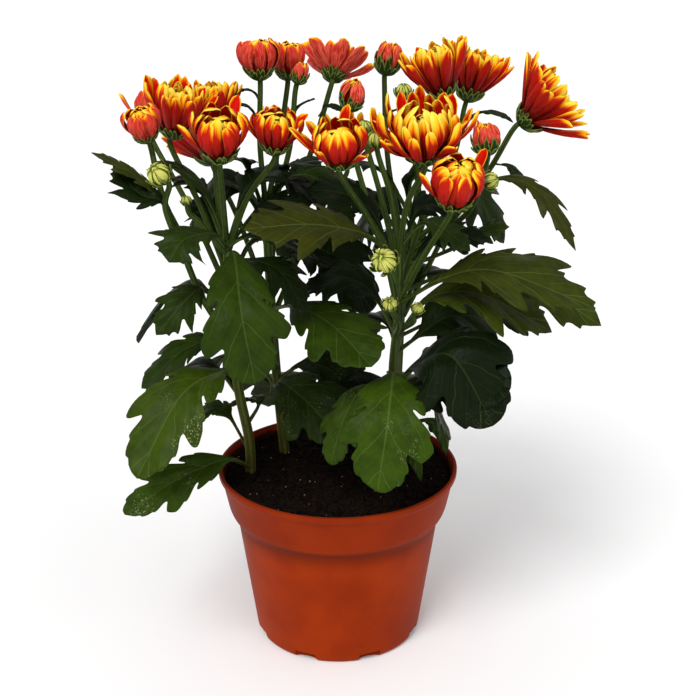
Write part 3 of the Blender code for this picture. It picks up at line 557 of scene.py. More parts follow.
# %% [markdown]
# The pot
#
# A moulded pot is a thin wall turned round an axis: a tapered body, a step out to the wide band
# that stacks inside the next pot, and a small rolled lip. It could be a Screw modifier on a
# drawn profile; here the profile is a list of radii and heights, rounded at its corners by a
# small function, and turned by a loop, so that the wall has its true thickness everywhere. Eight
# drain slots are cut round its foot.

# %% Profile and turning
RIM, BASE, BAND, BODY = 65.0, 45.7, 59.5, 55.3
POT_HEIGHT, BAND_FOOT, WALL, FLOOR = 98.0, 73.5, 1.6, 2.0
POT_SIDES, CORNER_STEPS = 160, 4


def rounded(corners, radius):
    """The profile with each inner corner replaced by a short curve of about that radius."""
    points = [corners[0]]
    for before, corner, after in zip(corners, corners[1:], corners[2:]):
        corner = Vector(corner)
        back, ahead = Vector(before) - corner, Vector(after) - corner
        reach = min(radius, back.length * 0.45, ahead.length * 0.45)
        start, end = corner + back.normalized() * reach, corner + ahead.normalized() * reach
        for k in range(CORNER_STEPS + 1):
            t = k / CORNER_STEPS
            points.append(tuple(start * (1 - t) ** 2 + corner * 2 * t * (1 - t) + end * t * t))
    return points + [corners[-1]]


def turned(name, profile, sides, finish):
    """A closed solid turned round Z from (radius, height) pairs in millimetres."""
    points, faces, rings = [], [], []
    for radius, height in profile:
        count = 1 if radius < 1e-6 else sides
        rings.append(range(len(points), len(points) + count))
        for j in range(count):
            angle = 2 * math.pi * j / sides
            points.append((radius * MM * math.cos(angle), radius * MM * math.sin(angle), height * MM))
    for low, high in zip(rings, rings[1:]):
        for j in range(sides):
            k = (j + 1) % sides
            face = (low[j % len(low)], low[k % len(low)], high[k % len(high)], high[j % len(high)])
            faces.append(tuple(dict.fromkeys(face)))
    mesh = bpy.data.meshes.new(name)
    mesh.from_pydata(points, [], faces)
    mesh.materials.append(finish)
    made = bpy.data.objects.new(name, mesh)
    bpy.context.scene.collection.objects.link(made)
    return made


def settle(piece, node_name):
    """Puts a finished piece in the place of a node of the part."""
    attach(piece, "root")
    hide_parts(node_name)


def baked(piece):
    """Turns the piece and its modifiers to a plain mesh on the same object."""
    graph = bpy.context.evaluated_depsgraph_get()
    whole = piece.evaluated_get(graph)
    mesh = bpy.data.meshes.new_from_object(whole, preserve_all_data_layers=True, depsgraph=graph)
    piece.modifiers.clear()
    piece.data = mesh
    return piece


# %% The pot itself
SLOT_COUNT, SLOT_SIZE, SLOT_TOP, SLOT_SIDES, SLOT_INSET, SLOT_STRETCH = 8, 3.2, 4.6, 24, 1.2, 2
outer_profile = rounded([
    (0, 0), (14, 0), (16, FLOOR), (BASE - 9, FLOOR), (BASE - 7, 0), (BASE - 1.5, 0), (BASE, 2.4),
    (BODY, BAND_FOOT - 3.6), (BAND - 1.2, BAND_FOOT - 0.4), (BAND + 0.2, BAND_FOOT + 3.0),
    (RIM - 1.7, POT_HEIGHT - 4.6), (RIM, POT_HEIGHT - 3.2), (RIM, POT_HEIGHT - 0.1), (RIM - 1.3, POT_HEIGHT),
], 2.2)
inner_profile = rounded([
    (RIM - 1.7, POT_HEIGHT), (RIM - 3.0, POT_HEIGHT - 3.0), (BAND - WALL, BAND_FOOT + 3.0),
    (BODY - WALL, BAND_FOOT - 2.0), (BASE - WALL, FLOOR + WALL), (0, FLOOR + WALL),
], 1.5)
pot = turned("nursery_pot", outer_profile + inner_profile, POT_SIDES, PLASTIC)
slot_profile = [(0, -SLOT_SIZE), (SLOT_SIZE, -SLOT_SIZE), (SLOT_SIZE, SLOT_TOP), (0, SLOT_TOP)]
slots = bpy.data.collections.new("slots")
for k in range(SLOT_COUNT):
    cutter = turned("slot", slot_profile, SLOT_SIDES, PLASTIC)
    turn = Matrix.Rotation(2 * math.pi * (k + 0.5) / SLOT_COUNT, 4, "Z")
    outward = Matrix.Translation(((BASE - SLOT_INSET) * MM, 0, 0))
    cutter.matrix_world = turn @ outward @ Matrix.Diagonal((1, SLOT_STRETCH, 1, 1))
    slots.objects.link(cutter)
    bpy.context.scene.collection.objects.unlink(cutter)
cut = pot.modifiers.new("Slots", "BOOLEAN")
cut.operation, cut.operand_type, cut.collection = "DIFFERENCE", "COLLECTION", slots
baked(pot)
for cutter in list(slots.objects):
    bpy.data.objects.remove(cutter)
bpy.data.collections.remove(slots)
pot.data.shade_smooth()
pot.data.set_sharp_from_angle(angle=math.radians(50))
settle(pot, "pot")
print("pot faces:", len(pot.data.polygons))

# %% [markdown]
# The soil
#
# The soil is a plug of peat with an uneven top. Its crumbs and the perlite are what make it read
# as soil, and there are very many of them, so Geometry Nodes scatter them over the top: a point
# cloud on the faces that look up, a lumpy ico sphere on each point, turned and scaled at random.
# The seeds are fixed, so the soil is the same each time.

# %% The plug of peat
SOIL_LEVEL, SOIL_GAP, SOIL_RINGS, SOIL_SIDES, CRUMB_MARGIN = 93.0, 0.4, 34, 128, 3.2
LUMP_COUNT, LUMP_REACH, LUMP_WIDTHS, LUMP_HEIGHT, LUMP_SHARE, GRAIN = 70, 55, (4, 11), 1.6, 0.5, 0.25
plug_foot, gap = FLOOR + WALL + SOIL_GAP, WALL + SOIL_GAP
soil_top = RIM - 3.0 - SOIL_GAP - 0.32 * (POT_HEIGHT - 4.0 - SOIL_LEVEL)
plug_profile = [(0, plug_foot), (BASE - gap - 0.2, plug_foot), (BODY - gap - 0.3, BAND_FOOT - 2.0),
                (BAND - gap - 0.3, BAND_FOOT + 3.2), (soil_top, SOIL_LEVEL - 1.5)]
plug_profile += [(soil_top * (1 - k / SOIL_RINGS), SOIL_LEVEL - 0.4) for k in range(1, SOIL_RINGS + 1)]
soil = turned("peat_plug", plug_profile, SOIL_SIDES, PEAT)
chance = random.Random(7)
lumps = []
for _ in range(LUMP_COUNT):
    centre = Vector((chance.uniform(-LUMP_REACH, LUMP_REACH), chance.uniform(-LUMP_REACH, LUMP_REACH)))
    lumps.append((centre, chance.uniform(*LUMP_WIDTHS), chance.uniform(-LUMP_HEIGHT, LUMP_HEIGHT)))
for vertex in soil.data.vertices:
    spot = vertex.co.xy / MM
    if vertex.co.z > (SOIL_LEVEL - 1) * MM:
        rise = sum(height * math.exp(-((spot - centre).length / width) ** 2)
                   for centre, width, height in lumps)
        vertex.co.z += (rise * LUMP_SHARE + chance.uniform(-GRAIN, GRAIN)) * MM
soil.data.shade_smooth()


# %% The scatter of crumbs
def input_sockets(tree, names_kinds):
    """Adds the inputs of a Geometry Nodes tree, and returns the node that holds them."""
    tree.interface.new_socket("Geometry", in_out="OUTPUT", socket_type="NodeSocketGeometry")
    tree.interface.new_socket("Geometry", in_out="INPUT", socket_type="NodeSocketGeometry")
    for name, kind in names_kinds:
        tree.interface.new_socket(name, in_out="INPUT", socket_type="NodeSocket" + kind)
    return tree.nodes.new("NodeGroupInput").outputs


def feed(piece, tree, values):
    """Adds the tree to the piece as a modifier, with its inputs set by their identifiers."""
    modifier = piece.modifiers.new(tree.name, "NODES")
    modifier.node_group = tree
    for item in tree.interface.items_tree:
        if item.in_out == "INPUT" and item.name in values:
            modifier[item.identifier] = values[item.name]
    return modifier


def finish_tree(tree, sockets, grown):
    """Gives the grown geometry its material, joins it to the piece's own and puts both out."""
    painted = node(tree, "GeometryNodeSetMaterial", {"Geometry": grown, "Material": sockets["Finish"]})
    both = node(tree, "GeometryNodeJoinGeometry", {0: painted.outputs[0]})
    tree.links.new(sockets["Geometry"], both.inputs[0])
    node(tree, "NodeGroupOutput", {0: both.outputs[0]})
    return tree


FULL_TURN, CRUMB_DENTS, CRUMB_LUMPS = 6.28, 2.2, 1.3


def crumb_tree():
    tree = bpy.data.node_groups.new("scattered_crumbs", "GeometryNodeTree")
    sockets = input_sockets(tree, [("Density", "Float"), ("Smallest", "Float"), ("Largest", "Float"),
                                   ("Squash", "Float"), ("Seed", "Int"), ("Finish", "Material")])
    facing = coordinate(node(tree, "GeometryNodeInputNormal").outputs[0], "Z")
    place = node(tree, "GeometryNodeInputPosition").outputs[0]
    upward = times(calc("GREATER_THAN", facing, 0.5),
                   calc("GREATER_THAN", coordinate(place, "Z"), (SOIL_LEVEL - 4) * MM))
    upward = times(upward, calc("LESS_THAN", from_axis(place), (soil_top - CRUMB_MARGIN) * MM))
    spots = node(tree, "GeometryNodeDistributePointsOnFaces", {
        "Mesh": sockets["Geometry"], "Selection": upward, "Density": sockets["Density"],
        "Seed": sockets["Seed"]}).outputs["Points"]
    crumb = node(tree, "GeometryNodeMeshIcoSphere", {"Radius": 1.0, "Subdivisions": 1}).outputs["Mesh"]
    offset = node(tree, "ShaderNodeTexNoise", {"Scale": CRUMB_LUMPS, "Detail": 2.0}).outputs["Color"]
    for operation, amount in (("SUBTRACT", 0.5), ("MULTIPLY", CRUMB_DENTS)):
        inputs = {0: offset, 1: (amount,) * 3}
        offset = node(tree, "ShaderNodeVectorMath", inputs, operation=operation).outputs[0]
    crumb = node(tree, "GeometryNodeSetPosition", {"Geometry": crumb, "Offset": offset}).outputs[0]
    turn = node(tree, "FunctionNodeRandomValue", {1: (FULL_TURN,) * 3, "Seed": sockets["Seed"]},
                data_type="FLOAT_VECTOR").outputs[0]
    size = node(tree, "FunctionNodeRandomValue", {2: sockets["Smallest"], 3: sockets["Largest"],
                "Seed": sockets["Seed"]}, data_type="FLOAT").outputs[1]
    scale = node(tree, "ShaderNodeCombineXYZ", {0: size, 1: size, 2: times(size, sockets["Squash"])})
    grown = node(tree, "GeometryNodeInstanceOnPoints", {
        "Points": spots, "Instance": crumb, "Rotation": turn, "Scale": scale.outputs[0]}).outputs[0]
    plain = node(tree, "GeometryNodeRealizeInstances", {"Geometry": grown}).outputs[0]
    return finish_tree(tree, sockets, plain)


CRUMBS = crumb_tree()
# Crumbs per square metre, then their radii in millimetres, their height over width and the seed.
SCATTERS = (
    (110000, 0.5, 1.5, 0.8, 3, PEAT),
    (16000, 1.2, 2.5, 0.6, 5, PEAT),
    (5000, 0.2, 0.5, 0.9, 11, PERLITE),
)
for density, smallest, largest, squash, seed, finish in SCATTERS:
    feed(soil, CRUMBS, {"Density": density, "Smallest": smallest * MM, "Largest": largest * MM,
                        "Squash": squash, "Seed": seed, "Finish": finish})
    baked(soil)
settle(soil, "soil")
print("soil faces:", len(soil.data.polygons))

# %% [markdown]
# Stems and stalks
#
# A stem is a tube along a smooth curve, thinner towards its top. Chrysanthemum stems have shallow
# ribs. A curve object with a bevel would be round, so the tube is made ring by ring with numpy,
# and the radius of each ring follows the ribs. The number across keeps which points lie on a
# rib, for the material to read.

# %% Curves and tubes
def spline(points, shares):
    """Points at shares of the way along a smooth curve through the points, as an array."""
    points = np.array(points, float)
    points = np.vstack([2 * points[0] - points[1], points, 2 * points[-1] - points[-2]])
    place = np.clip(np.asarray(shares, float), 0, 0.99999) * (len(points) - 3)
    i = place.astype(int)
    t = (place - i)[:, None]
    a, b, c, d = points[i], points[i + 1], points[i + 2], points[i + 3]
    return 0.5 * (2 * b + (c - a) * t + (2 * a - 5 * b + 4 * c - d) * t**2 + (3 * b - a - 3 * c + d) * t**3)


def unit(vectors):
    return vectors / np.linalg.norm(vectors, axis=-1, keepdims=True)


def at_height(points, height):
    """The point of a rising curve that lies at a height."""
    fine = spline(points, np.linspace(0, 1, 400))
    return tuple(fine[np.argmin(np.abs(fine[:, 2] - height))])


def mesh_piece(name, points, faces, finishes, numbers, face_finish=None):
    """A mesh object from millimetre points, with the numbers that its materials read."""
    mesh = bpy.data.meshes.new(name)
    mesh.from_pydata((np.asarray(points) * MM).tolist(), [], [tuple(map(int, f)) for f in faces])
    for finish in finishes:
        mesh.materials.append(finish)
    if face_finish is not None:
        mesh.polygons.foreach_set("material_index", np.asarray(face_finish, np.int32))
    for key, values in numbers.items():
        mesh.attributes.new(key, "FLOAT", "POINT").data.foreach_set("value", np.asarray(values, np.float32))
    mesh.shade_smooth()
    made = bpy.data.objects.new(name, mesh)
    bpy.context.scene.collection.objects.link(made)
    return made


def tube(line, radii, rings, sides=20, ribs=5, rib_depth=0.09, sweep=(0.0, 1.0)):
    """A closed ribbed tube along a smooth curve; radii run from its start to its end."""
    shares = np.linspace(*sweep, rings)
    centres = spline(line, shares)
    tangents = unit(spline(line, shares + 0.01) - spline(line, shares - 0.01))
    side = np.array([1.0, 0.0, 0.0])
    angles = np.linspace(0, 2 * np.pi, sides, endpoint=False)
    crest = 0.5 + 0.5 * np.cos(ribs * angles)
    points, across = [], []
    for share, centre, tangent in zip(np.linspace(0, 1, rings), centres, tangents):
        side = unit(side - tangent * (side @ tangent))
        other = np.cross(tangent, side)
        radius = radii[0] + (radii[1] - radii[0]) * share
        spokes = radius * (1 - rib_depth + rib_depth * 2 * crest)
        ring = centre + spokes[:, None] * (np.outer(np.cos(angles), side) + np.outer(np.sin(angles), other))
        points.append(ring)
        across.append(crest)
    points = np.vstack(points + [centres[:1], centres[-1:]])
    faces = []
    for k in range(rings - 1):
        for j in range(sides):
            a, b = k * sides + j, k * sides + (j + 1) % sides
            faces.append((a, b, b + sides, a + sides))
    first, last, top = len(points) - 2, len(points) - 1, (rings - 1) * sides
    faces += [(first, (j + 1) % sides, j) for j in range(sides)]
    faces += [(last, top + j, top + (j + 1) % sides) for j in range(sides)]
    across = np.concatenate(across + [np.zeros(2)])
    return mesh_piece("tube", points, faces, [STEM_GREEN], {
        "across": across, "along": np.zeros(len(points)), "light_tone": np.zeros(len(points))})


# %% [markdown]
# Leaves
#
# A chrysanthemum leaf has two pairs of toothed side lobes and a broad end lobe, with deep bays
# between them. Three outlines are drawn, each as points on one half of a flat leaf, which say
# how far along the midrib they lie and how far across: one with rounded lobes, one with pointed
# lobes for the leaves whose tips are high, and one for bracts. Each leaf shakes the points of
# its outline a little, rounds them by a smooth curve, mirrors them with a different shake and
# fills the outline with an even lattice by Delaunay triangulation. Only then is it bent: every
# point goes to its place along the midrib's curve, the blade folds up from the midrib, droops
# at its margins, waves, and swells between its veins.

# %% The leaf
HALF_OUTLINE = (
    (0.02, 0.03), (0.09, 0.07), (0.17, 0.14), (0.24, 0.27), (0.30, 0.44), (0.35, 0.58), (0.40, 0.68),
    (0.415, 0.64), (0.45, 0.70), (0.495, 0.76), (0.53, 0.73), (0.53, 0.65), (0.512, 0.56), (0.502, 0.50),
    (0.512, 0.49), (0.535, 0.55), (0.568, 0.67), (0.605, 0.81), (0.640, 0.90), (0.655, 0.87), (0.690, 0.95),
    (0.735, 1.00), (0.775, 0.97), (0.785, 0.88), (0.772, 0.75), (0.757, 0.64), (0.750, 0.57), (0.765, 0.54),
    (0.792, 0.57), (0.820, 0.62), (0.850, 0.64), (0.862, 0.58), (0.895, 0.57), (0.930, 0.50), (0.937, 0.40),
    (0.962, 0.32), (0.985, 0.18),
)
# The lobes of the upper leaves are narrower and end in points.
POINTED_OUTLINE = (
    (0.02, 0.03), (0.09, 0.07), (0.17, 0.14), (0.24, 0.26), (0.30, 0.43), (0.345, 0.55), (0.354, 0.50),
    (0.400, 0.61), (0.460, 0.74), (0.508, 0.82), (0.504, 0.70), (0.490, 0.58), (0.480, 0.50),
    (0.492, 0.46), (0.524, 0.53), (0.562, 0.65), (0.602, 0.78), (0.610, 0.73), (0.662, 0.87),
    (0.720, 0.99), (0.762, 1.02), (0.752, 0.87), (0.738, 0.71), (0.724, 0.59), (0.720, 0.52), (0.738, 0.48),
    (0.772, 0.51), (0.815, 0.60), (0.858, 0.65), (0.858, 0.52), (0.880, 0.44), (0.922, 0.44), (0.922, 0.32),
    (0.955, 0.19),
)
# A bract high on the stalks is small and nearly entire.
BRACT_OUTLINE = (
    (0.02, 0.08), (0.12, 0.26), (0.26, 0.58), (0.37, 0.84), (0.39, 0.78), (0.50, 0.98), (0.60, 1.00),
    (0.63, 0.88), (0.74, 0.74), (0.82, 0.60), (0.85, 0.50), (0.93, 0.28), (0.97, 0.14),
)
BRACT_WIDTH, POINTED_HEIGHT = 16, 183
# The lattice is of equal triangles, whose rows are 0.866 of a step apart.
BLADE_THICK, LATTICE, ROW_SHARE, EDGE_SHARE = 0.5, 1.6, 0.866, 0.45
PETIOLE_SHARE, PETIOLE_REACH, PETIOLE_RADII = 0.2, 0.86, (1.25, 0.35)
FOLD, SAG, WAVE, WAVE_TURNS, SWELL, FULL_GIRTH_WIDTH = 0.22, 0.30, 0.05, 15, 0.5, 22
# Each quarter of each half of a leaf is shifted and widened by its own small random amount.
QUARTERS, END_SHIFT, WIDTH_SHARES, TONE_SHAKE = 4, 0.012, (0.86, 1.02), 0.12


def blade_outline(key_points, chance):
    """The closed outline of one blade in shares of its length and half width."""
    halves = []
    for _ in range(2):
        swells = [(chance.uniform(-END_SHIFT, END_SHIFT), chance.uniform(*WIDTH_SHARES))
                  for _ in range(QUARTERS)]
        points = []
        for s, w in key_points:
            shift, swell = swells[int(s * QUARTERS)]
            points.append((s + shift, w * swell))
        points.append((1.0, 0.0))
        halves.append(spline(points, np.linspace(0, 1, (len(points) - 1) * 2 + 1)))
    right, left = halves
    return np.vstack([right, left[-2::-1] * (1, -1)])


def inside(points, outline, margin):
    """Which points lie inside a closed outline, and no closer to it than the margin."""
    x, y = points[:, 0][:, None], points[:, 1][:, None]
    x0, y0 = outline[:, 0], outline[:, 1]
    x1, y1 = np.roll(x0, -1), np.roll(y0, -1)
    crossing = ((y0 > y) != (y1 > y)) & (x < (x1 - x0) * (y - y0) / (y1 - y0 + 1e-12) + x0)
    dx, dy = x1 - x0, y1 - y0
    t = np.clip(((x - x0) * dx + (y - y0) * dy) / (dx * dx + dy * dy + 1e-12), 0, 1)
    near = np.hypot(x - x0 - t * dx, y - y0 - t * dy).min(axis=1)
    return (crossing.sum(axis=1) % 2 == 1) & (near > margin)


def leaf(line, width, roll, light_tone, seed):
    """One leaf on its stalk, bent along the smooth curve through the line's points."""
    chance = random.Random(seed)
    reach = np.array(line[-1], float) - np.array(line[0], float)
    length = np.linalg.norm(np.diff(spline(line, np.linspace(0, 1, 40)), axis=0), axis=1).sum()
    blade_length, half = length * (1 - PETIOLE_SHARE), width / 2
    shape = POINTED_OUTLINE if line[-1][2] > POINTED_HEIGHT else HALF_OUTLINE
    key_points = BRACT_OUTLINE if width < BRACT_WIDTH else shape
    outline = blade_outline(key_points, chance) * (blade_length, half)
    columns = np.arange(0, blade_length, LATTICE)
    rows = np.arange(-math.ceil(half / LATTICE), math.ceil(half / LATTICE) + 1) * LATTICE * ROW_SHARE
    grid = np.array([(x + LATTICE / 2 * (j % 2), y) for j, y in enumerate(rows) for x in columns])
    grid = grid[inside(grid, outline, LATTICE * EDGE_SHARE)]
    loose = [Vector(point) for point in np.vstack([outline, grid])]
    filled = geometry.delaunay_2d_cdt(loose, [], [list(range(len(outline)))], 1, 1e-4)
    flat, faces = np.array([tuple(point) for point in filled[0]]), np.array(filled[2])
    along, across = flat[:, 0] / blade_length, flat[:, 1] / half
    share = PETIOLE_SHARE + (1 - PETIOLE_SHARE) * along
    centre = spline(line, share)
    tangent = unit(spline(line, share + 0.02) - spline(line, share - 0.02))
    heading = unit(np.array([reach[0], reach[1], 0.0]))
    side = np.array([heading[1], -heading[0], 0.0])
    side = unit(side - tangent * (tangent @ side)[:, None])
    angle = math.radians(roll) * np.minimum(1, share / PETIOLE_SHARE)
    up = np.cross(side, tangent)
    level = side * np.cos(angle)[:, None] - up * np.sin(angle)[:, None]
    normal = np.cross(level, tangent)
    aside = np.abs(across)
    turns = (along - VEIN_SLANT * aside - VEIN_START) / VEIN_STEP
    between = np.abs(turns - np.round(turns)) * 2
    swell = SWELL * between**0.7 * np.clip(aside * 4, 0, 1) * np.clip((1.05 - aside) * 2, 0, 1)
    phase = chance.uniform(0, 2 * math.pi)
    wave = half * WAVE * np.sin(along * WAVE_TURNS + phase + np.sign(across)) * aside**2
    girth = min(1.0, width / FULL_GIRTH_WIDTH)
    root_rib, tip_rib = (radius * girth for radius in PETIOLE_RADII)
    rib = root_rib + (tip_rib - root_rib) * np.minimum(1, share / PETIOLE_REACH)
    lift = half * (FOLD * aside - SAG * aside**2) + wave + swell + rib * 0.8
    middle = centre + level * (half * across)[:, None] + normal * lift[:, None]
    edge_thin = BLADE_THICK / 2 * (1 - 0.5 * aside)[:, None]
    points = np.vstack([middle + normal * edge_thin, middle - normal * edge_thin])
    count = len(flat)
    p = points[faces[:, 0]], points[faces[:, 1]], points[faces[:, 2]]
    facing = np.einsum("ij,ij->i", np.cross(p[1] - p[0], p[2] - p[0]), normal[faces[:, 0]])
    upper = faces if np.median(facing) > 0 else faces[:, ::-1]
    under = upper[:, ::-1] + count
    edges = {(int(face[k]), int(face[k - 2])) for face in upper for k in range(3)}
    walls = [(b, a, a + count, b + count) for a, b in sorted(edges) if (b, a) not in edges]
    all_faces = [*upper, *under, *walls]
    finish = [0] * len(upper) + [1] * (len(under) + len(walls))
    shade = light_tone + chance.uniform(-TONE_SHAKE, TONE_SHAKE)
    blade = mesh_piece("blade", points, all_faces, [LEAF_UPPER, LEAF_UNDER], {
        "along": np.tile(along, 2), "across": np.tile(across, 2), "light_tone": np.full(2 * count, shade)}, finish)
    stalk = tube(line, (root_rib, tip_rib), 26, 8, 3, 0.12, (0.0, PETIOLE_REACH))
    return [blade, stalk]


def filler_line(root, heading, reach):
    """Root, bend, crest and tip of a leaf that only has a heading and a reach."""
    root = np.array(root)
    way = np.array([math.cos(math.radians(heading)), math.sin(math.radians(heading)), 0.0])
    up = np.array([0.0, 0.0, 1.0])
    bend, crest = FILLER_SHARES
    return (root, root + way * reach * bend + up * FILLER_RISE,
            root + way * reach * crest + up * FILLER_CREST, root + way * reach - up * FILLER_DROP)


# %% [markdown]
# Florets, bracts and buds
#
# A flower head is one pattern many times over: each floret stands at the golden angle, 137.5
# degrees, from the one before, and the florets grow shorter and more curled from the rim to the
# heart. That is what Geometry Nodes are for. The tree makes one closed thin box per floret and
# moves its points: where a point lies along, across and through the box becomes a place on a
# petal whose lean runs evenly from its root to its tip. Such a petal's midline is an arc, so its
# place has a plain formula. With other numbers the same tree makes the pointed green bracts
# under a head and the folded petals of a closed bud.

# %% The floret tree
GOLDEN_ANGLE = math.pi * (3 - math.sqrt(5))
RANGES = ("Length", "Width", "Root Lean", "Tip Lean", "Root Radius", "Root Height", "Hook")
PETAL_THICK, HOOK_START = 0.4, 0.55
# The numbers that each floret draws: the name, the lowest, the highest, and its step of the seed.
RANDOM_NUMBERS = (("chance", 0.0, 1.0, 2.0), ("lean_shake", -1.0, 1.0, 3.0), ("tip_shake", -1.0, 1.0, 4.0),
                  ("twist", -0.7, 0.7, 5.0), ("sway", -1.6, 1.6, 6.0))


def floret_tree():
    tree = bpy.data.node_groups.new("whorl_of_florets", "GeometryNodeTree")
    ranges = [(f"{end} {name}", "Float") for name in RANGES for end in ("Outer", "Inner")]
    plain_numbers = ("Cup", "Point", "Shake", "Gilt From", "Gilt To", "Pale", "Turn")
    sockets = input_sockets(tree, [("Count", "Int"), *ranges, *((name, "Float") for name in plain_numbers),
                                   ("Seed", "Int"), ("Finish", "Material")])

    def mixed(share, first, second):
        return plus(first, times(share, less(second, first)))

    def kept(points, name, value):
        stored = node(tree, "GeometryNodeStoreNamedAttribute", {
            "Geometry": points, "Name": name, "Value": value}, data_type="FLOAT", domain="POINT")
        return stored.outputs[0]

    def read(name):
        return node(tree, "GeometryNodeInputNamedAttribute", {"Name": name}, data_type="FLOAT").outputs[0]

    def random_between(low, high, offset):
        inputs = {2: low, 3: high, "Seed": plus(sockets["Seed"], offset)}
        return node(tree, "FunctionNodeRandomValue", inputs, data_type="FLOAT").outputs[1]

    roots = node(tree, "GeometryNodePoints", {"Count": sockets["Count"]}).outputs[0]
    index = node(tree, "GeometryNodeInputIndex").outputs[0]
    share = calc("DIVIDE", index, greater(less(sockets["Count"], 1.0), 1.0))
    roots = kept(roots, "share", share)
    turn = plus(times(index, GOLDEN_ANGLE), random_between(-0.12, 0.12, 1.0))
    roots = kept(roots, "azimuth", plus(turn, sockets["Turn"]))
    for name, low, high, offset in RANDOM_NUMBERS:
        roots = kept(roots, name, random_between(low, high, offset))
    box = node(tree, "GeometryNodeMeshCube", {
        "Size": (1.0, 1.0, 1.0), "Vertices X": 5, "Vertices Y": 8, "Vertices Z": 2}).outputs["Mesh"]
    place = node(tree, "ShaderNodeSeparateXYZ", {0: node(tree, "GeometryNodeInputPosition").outputs[0]})
    box = kept(box, "across", times(place.outputs["X"], 2.0))
    reach = plus(place.outputs["Y"], 0.5)
    box = kept(box, "along", less(1.0, calc("POWER", greater(less(1.0, reach), 0.0), 1.35)))
    box = kept(box, "under", less(0.5, place.outputs["Z"]))
    grown = node(tree, "GeometryNodeInstanceOnPoints", {"Points": roots, "Instance": box}).outputs[0]
    plain = node(tree, "GeometryNodeRealizeInstances", {"Geometry": grown}).outputs[0]

    s, w, under, t = read("along"), read("across"), read("under"), read("share")
    value = {name: mixed(t, sockets["Outer " + name], sockets["Inner " + name]) for name in RANGES}
    first = plus(value["Root Lean"], times(read("lean_shake"), sockets["Shake"]))
    last = plus(value["Tip Lean"], times(read("tip_shake"), times(sockets["Shake"], 1.6)))
    # An arc's formula divides by its bend, so a petal is never quite straight.
    bend = less(last, first)
    bend = plus(bend, times(calc("LESS_THAN", calc("ABSOLUTE", bend), 0.01), 0.02))
    lean = plus(first, times(bend, s))
    length = times(value["Length"], plus(0.93, times(read("chance"), 0.14)))
    scale = calc("DIVIDE", length, bend)
    out = times(scale, less(calc("COSINE", first), calc("COSINE", lean)))
    rise = times(scale, less(calc("SINE", lean), calc("SINE", first)))
    tip = calc("POWER", greater(less(1.0, calc("POWER", s, sockets["Point"])), 0.0), 0.6)
    spread = greater(times(calc("POWER", greater(s, 0.02), 0.4), tip), 0.12)
    half = times(times(value["Width"], spread), 0.5)
    aside = times(half, w)
    hollow = times(times(half, sockets["Cup"]), times(w, w))
    hollow = times(hollow, plus(0.6, times(s, 0.7)))
    tilt = times(aside, times(read("twist"), s))
    body = times(less(0.5, under), PETAL_THICK * MM)
    curl = calc("POWER", greater(calc("DIVIDE", less(s, HOOK_START), 1.0 - HOOK_START), 0.0), 2.0)
    curl = times(curl, times(length, times(value["Hook"], plus(0.5, read("chance")))))
    inward = plus(plus(plus(hollow, tilt), body), curl)
    outward = times(inward, times(calc("COSINE", lean), -1.0))
    radial = plus(plus(value["Root Radius"], out), outward)
    upward = plus(plus(value["Root Height"], rise), times(inward, calc("SINE", lean)))
    heading = plus(read("azimuth"), times(times(read("sway"), sockets["Shake"]), times(s, s)))
    cosine, sine = calc("COSINE", heading), calc("SINE", heading)
    x = less(times(radial, cosine), times(aside, sine))
    y = plus(times(radial, sine), times(aside, cosine))
    position = node(tree, "ShaderNodeCombineXYZ", {0: x, 1: y, 2: upward}).outputs[0]
    shaped = node(tree, "GeometryNodeSetPosition", {"Geometry": plain, "Position": position}).outputs[0]
    shaped = kept(shaped, "gilt", mixed(t, sockets["Gilt From"], sockets["Gilt To"]))
    shaped = kept(shaped, "pale", sockets["Pale"])
    smooth = node(tree, "GeometryNodeSetShadeSmooth", {"Geometry": shaped}).outputs[0]
    return finish_tree(tree, sockets, smooth)


FLORETS = floret_tree()
print("floret tree nodes:", len(FLORETS.nodes))

# %% [markdown]
# What each kind of head is made of
#
# A band is a run of florets: how many, then for its outer and its inner end the length and
# width, the lean from the head's axis at the root and at the tip, and the radius and height of
# the root. A head that is still closed has few bands and negative leans at the tips, which means
# that the petals close over it; an open one has rays that stand out and a heart of short
# florets that curl in.

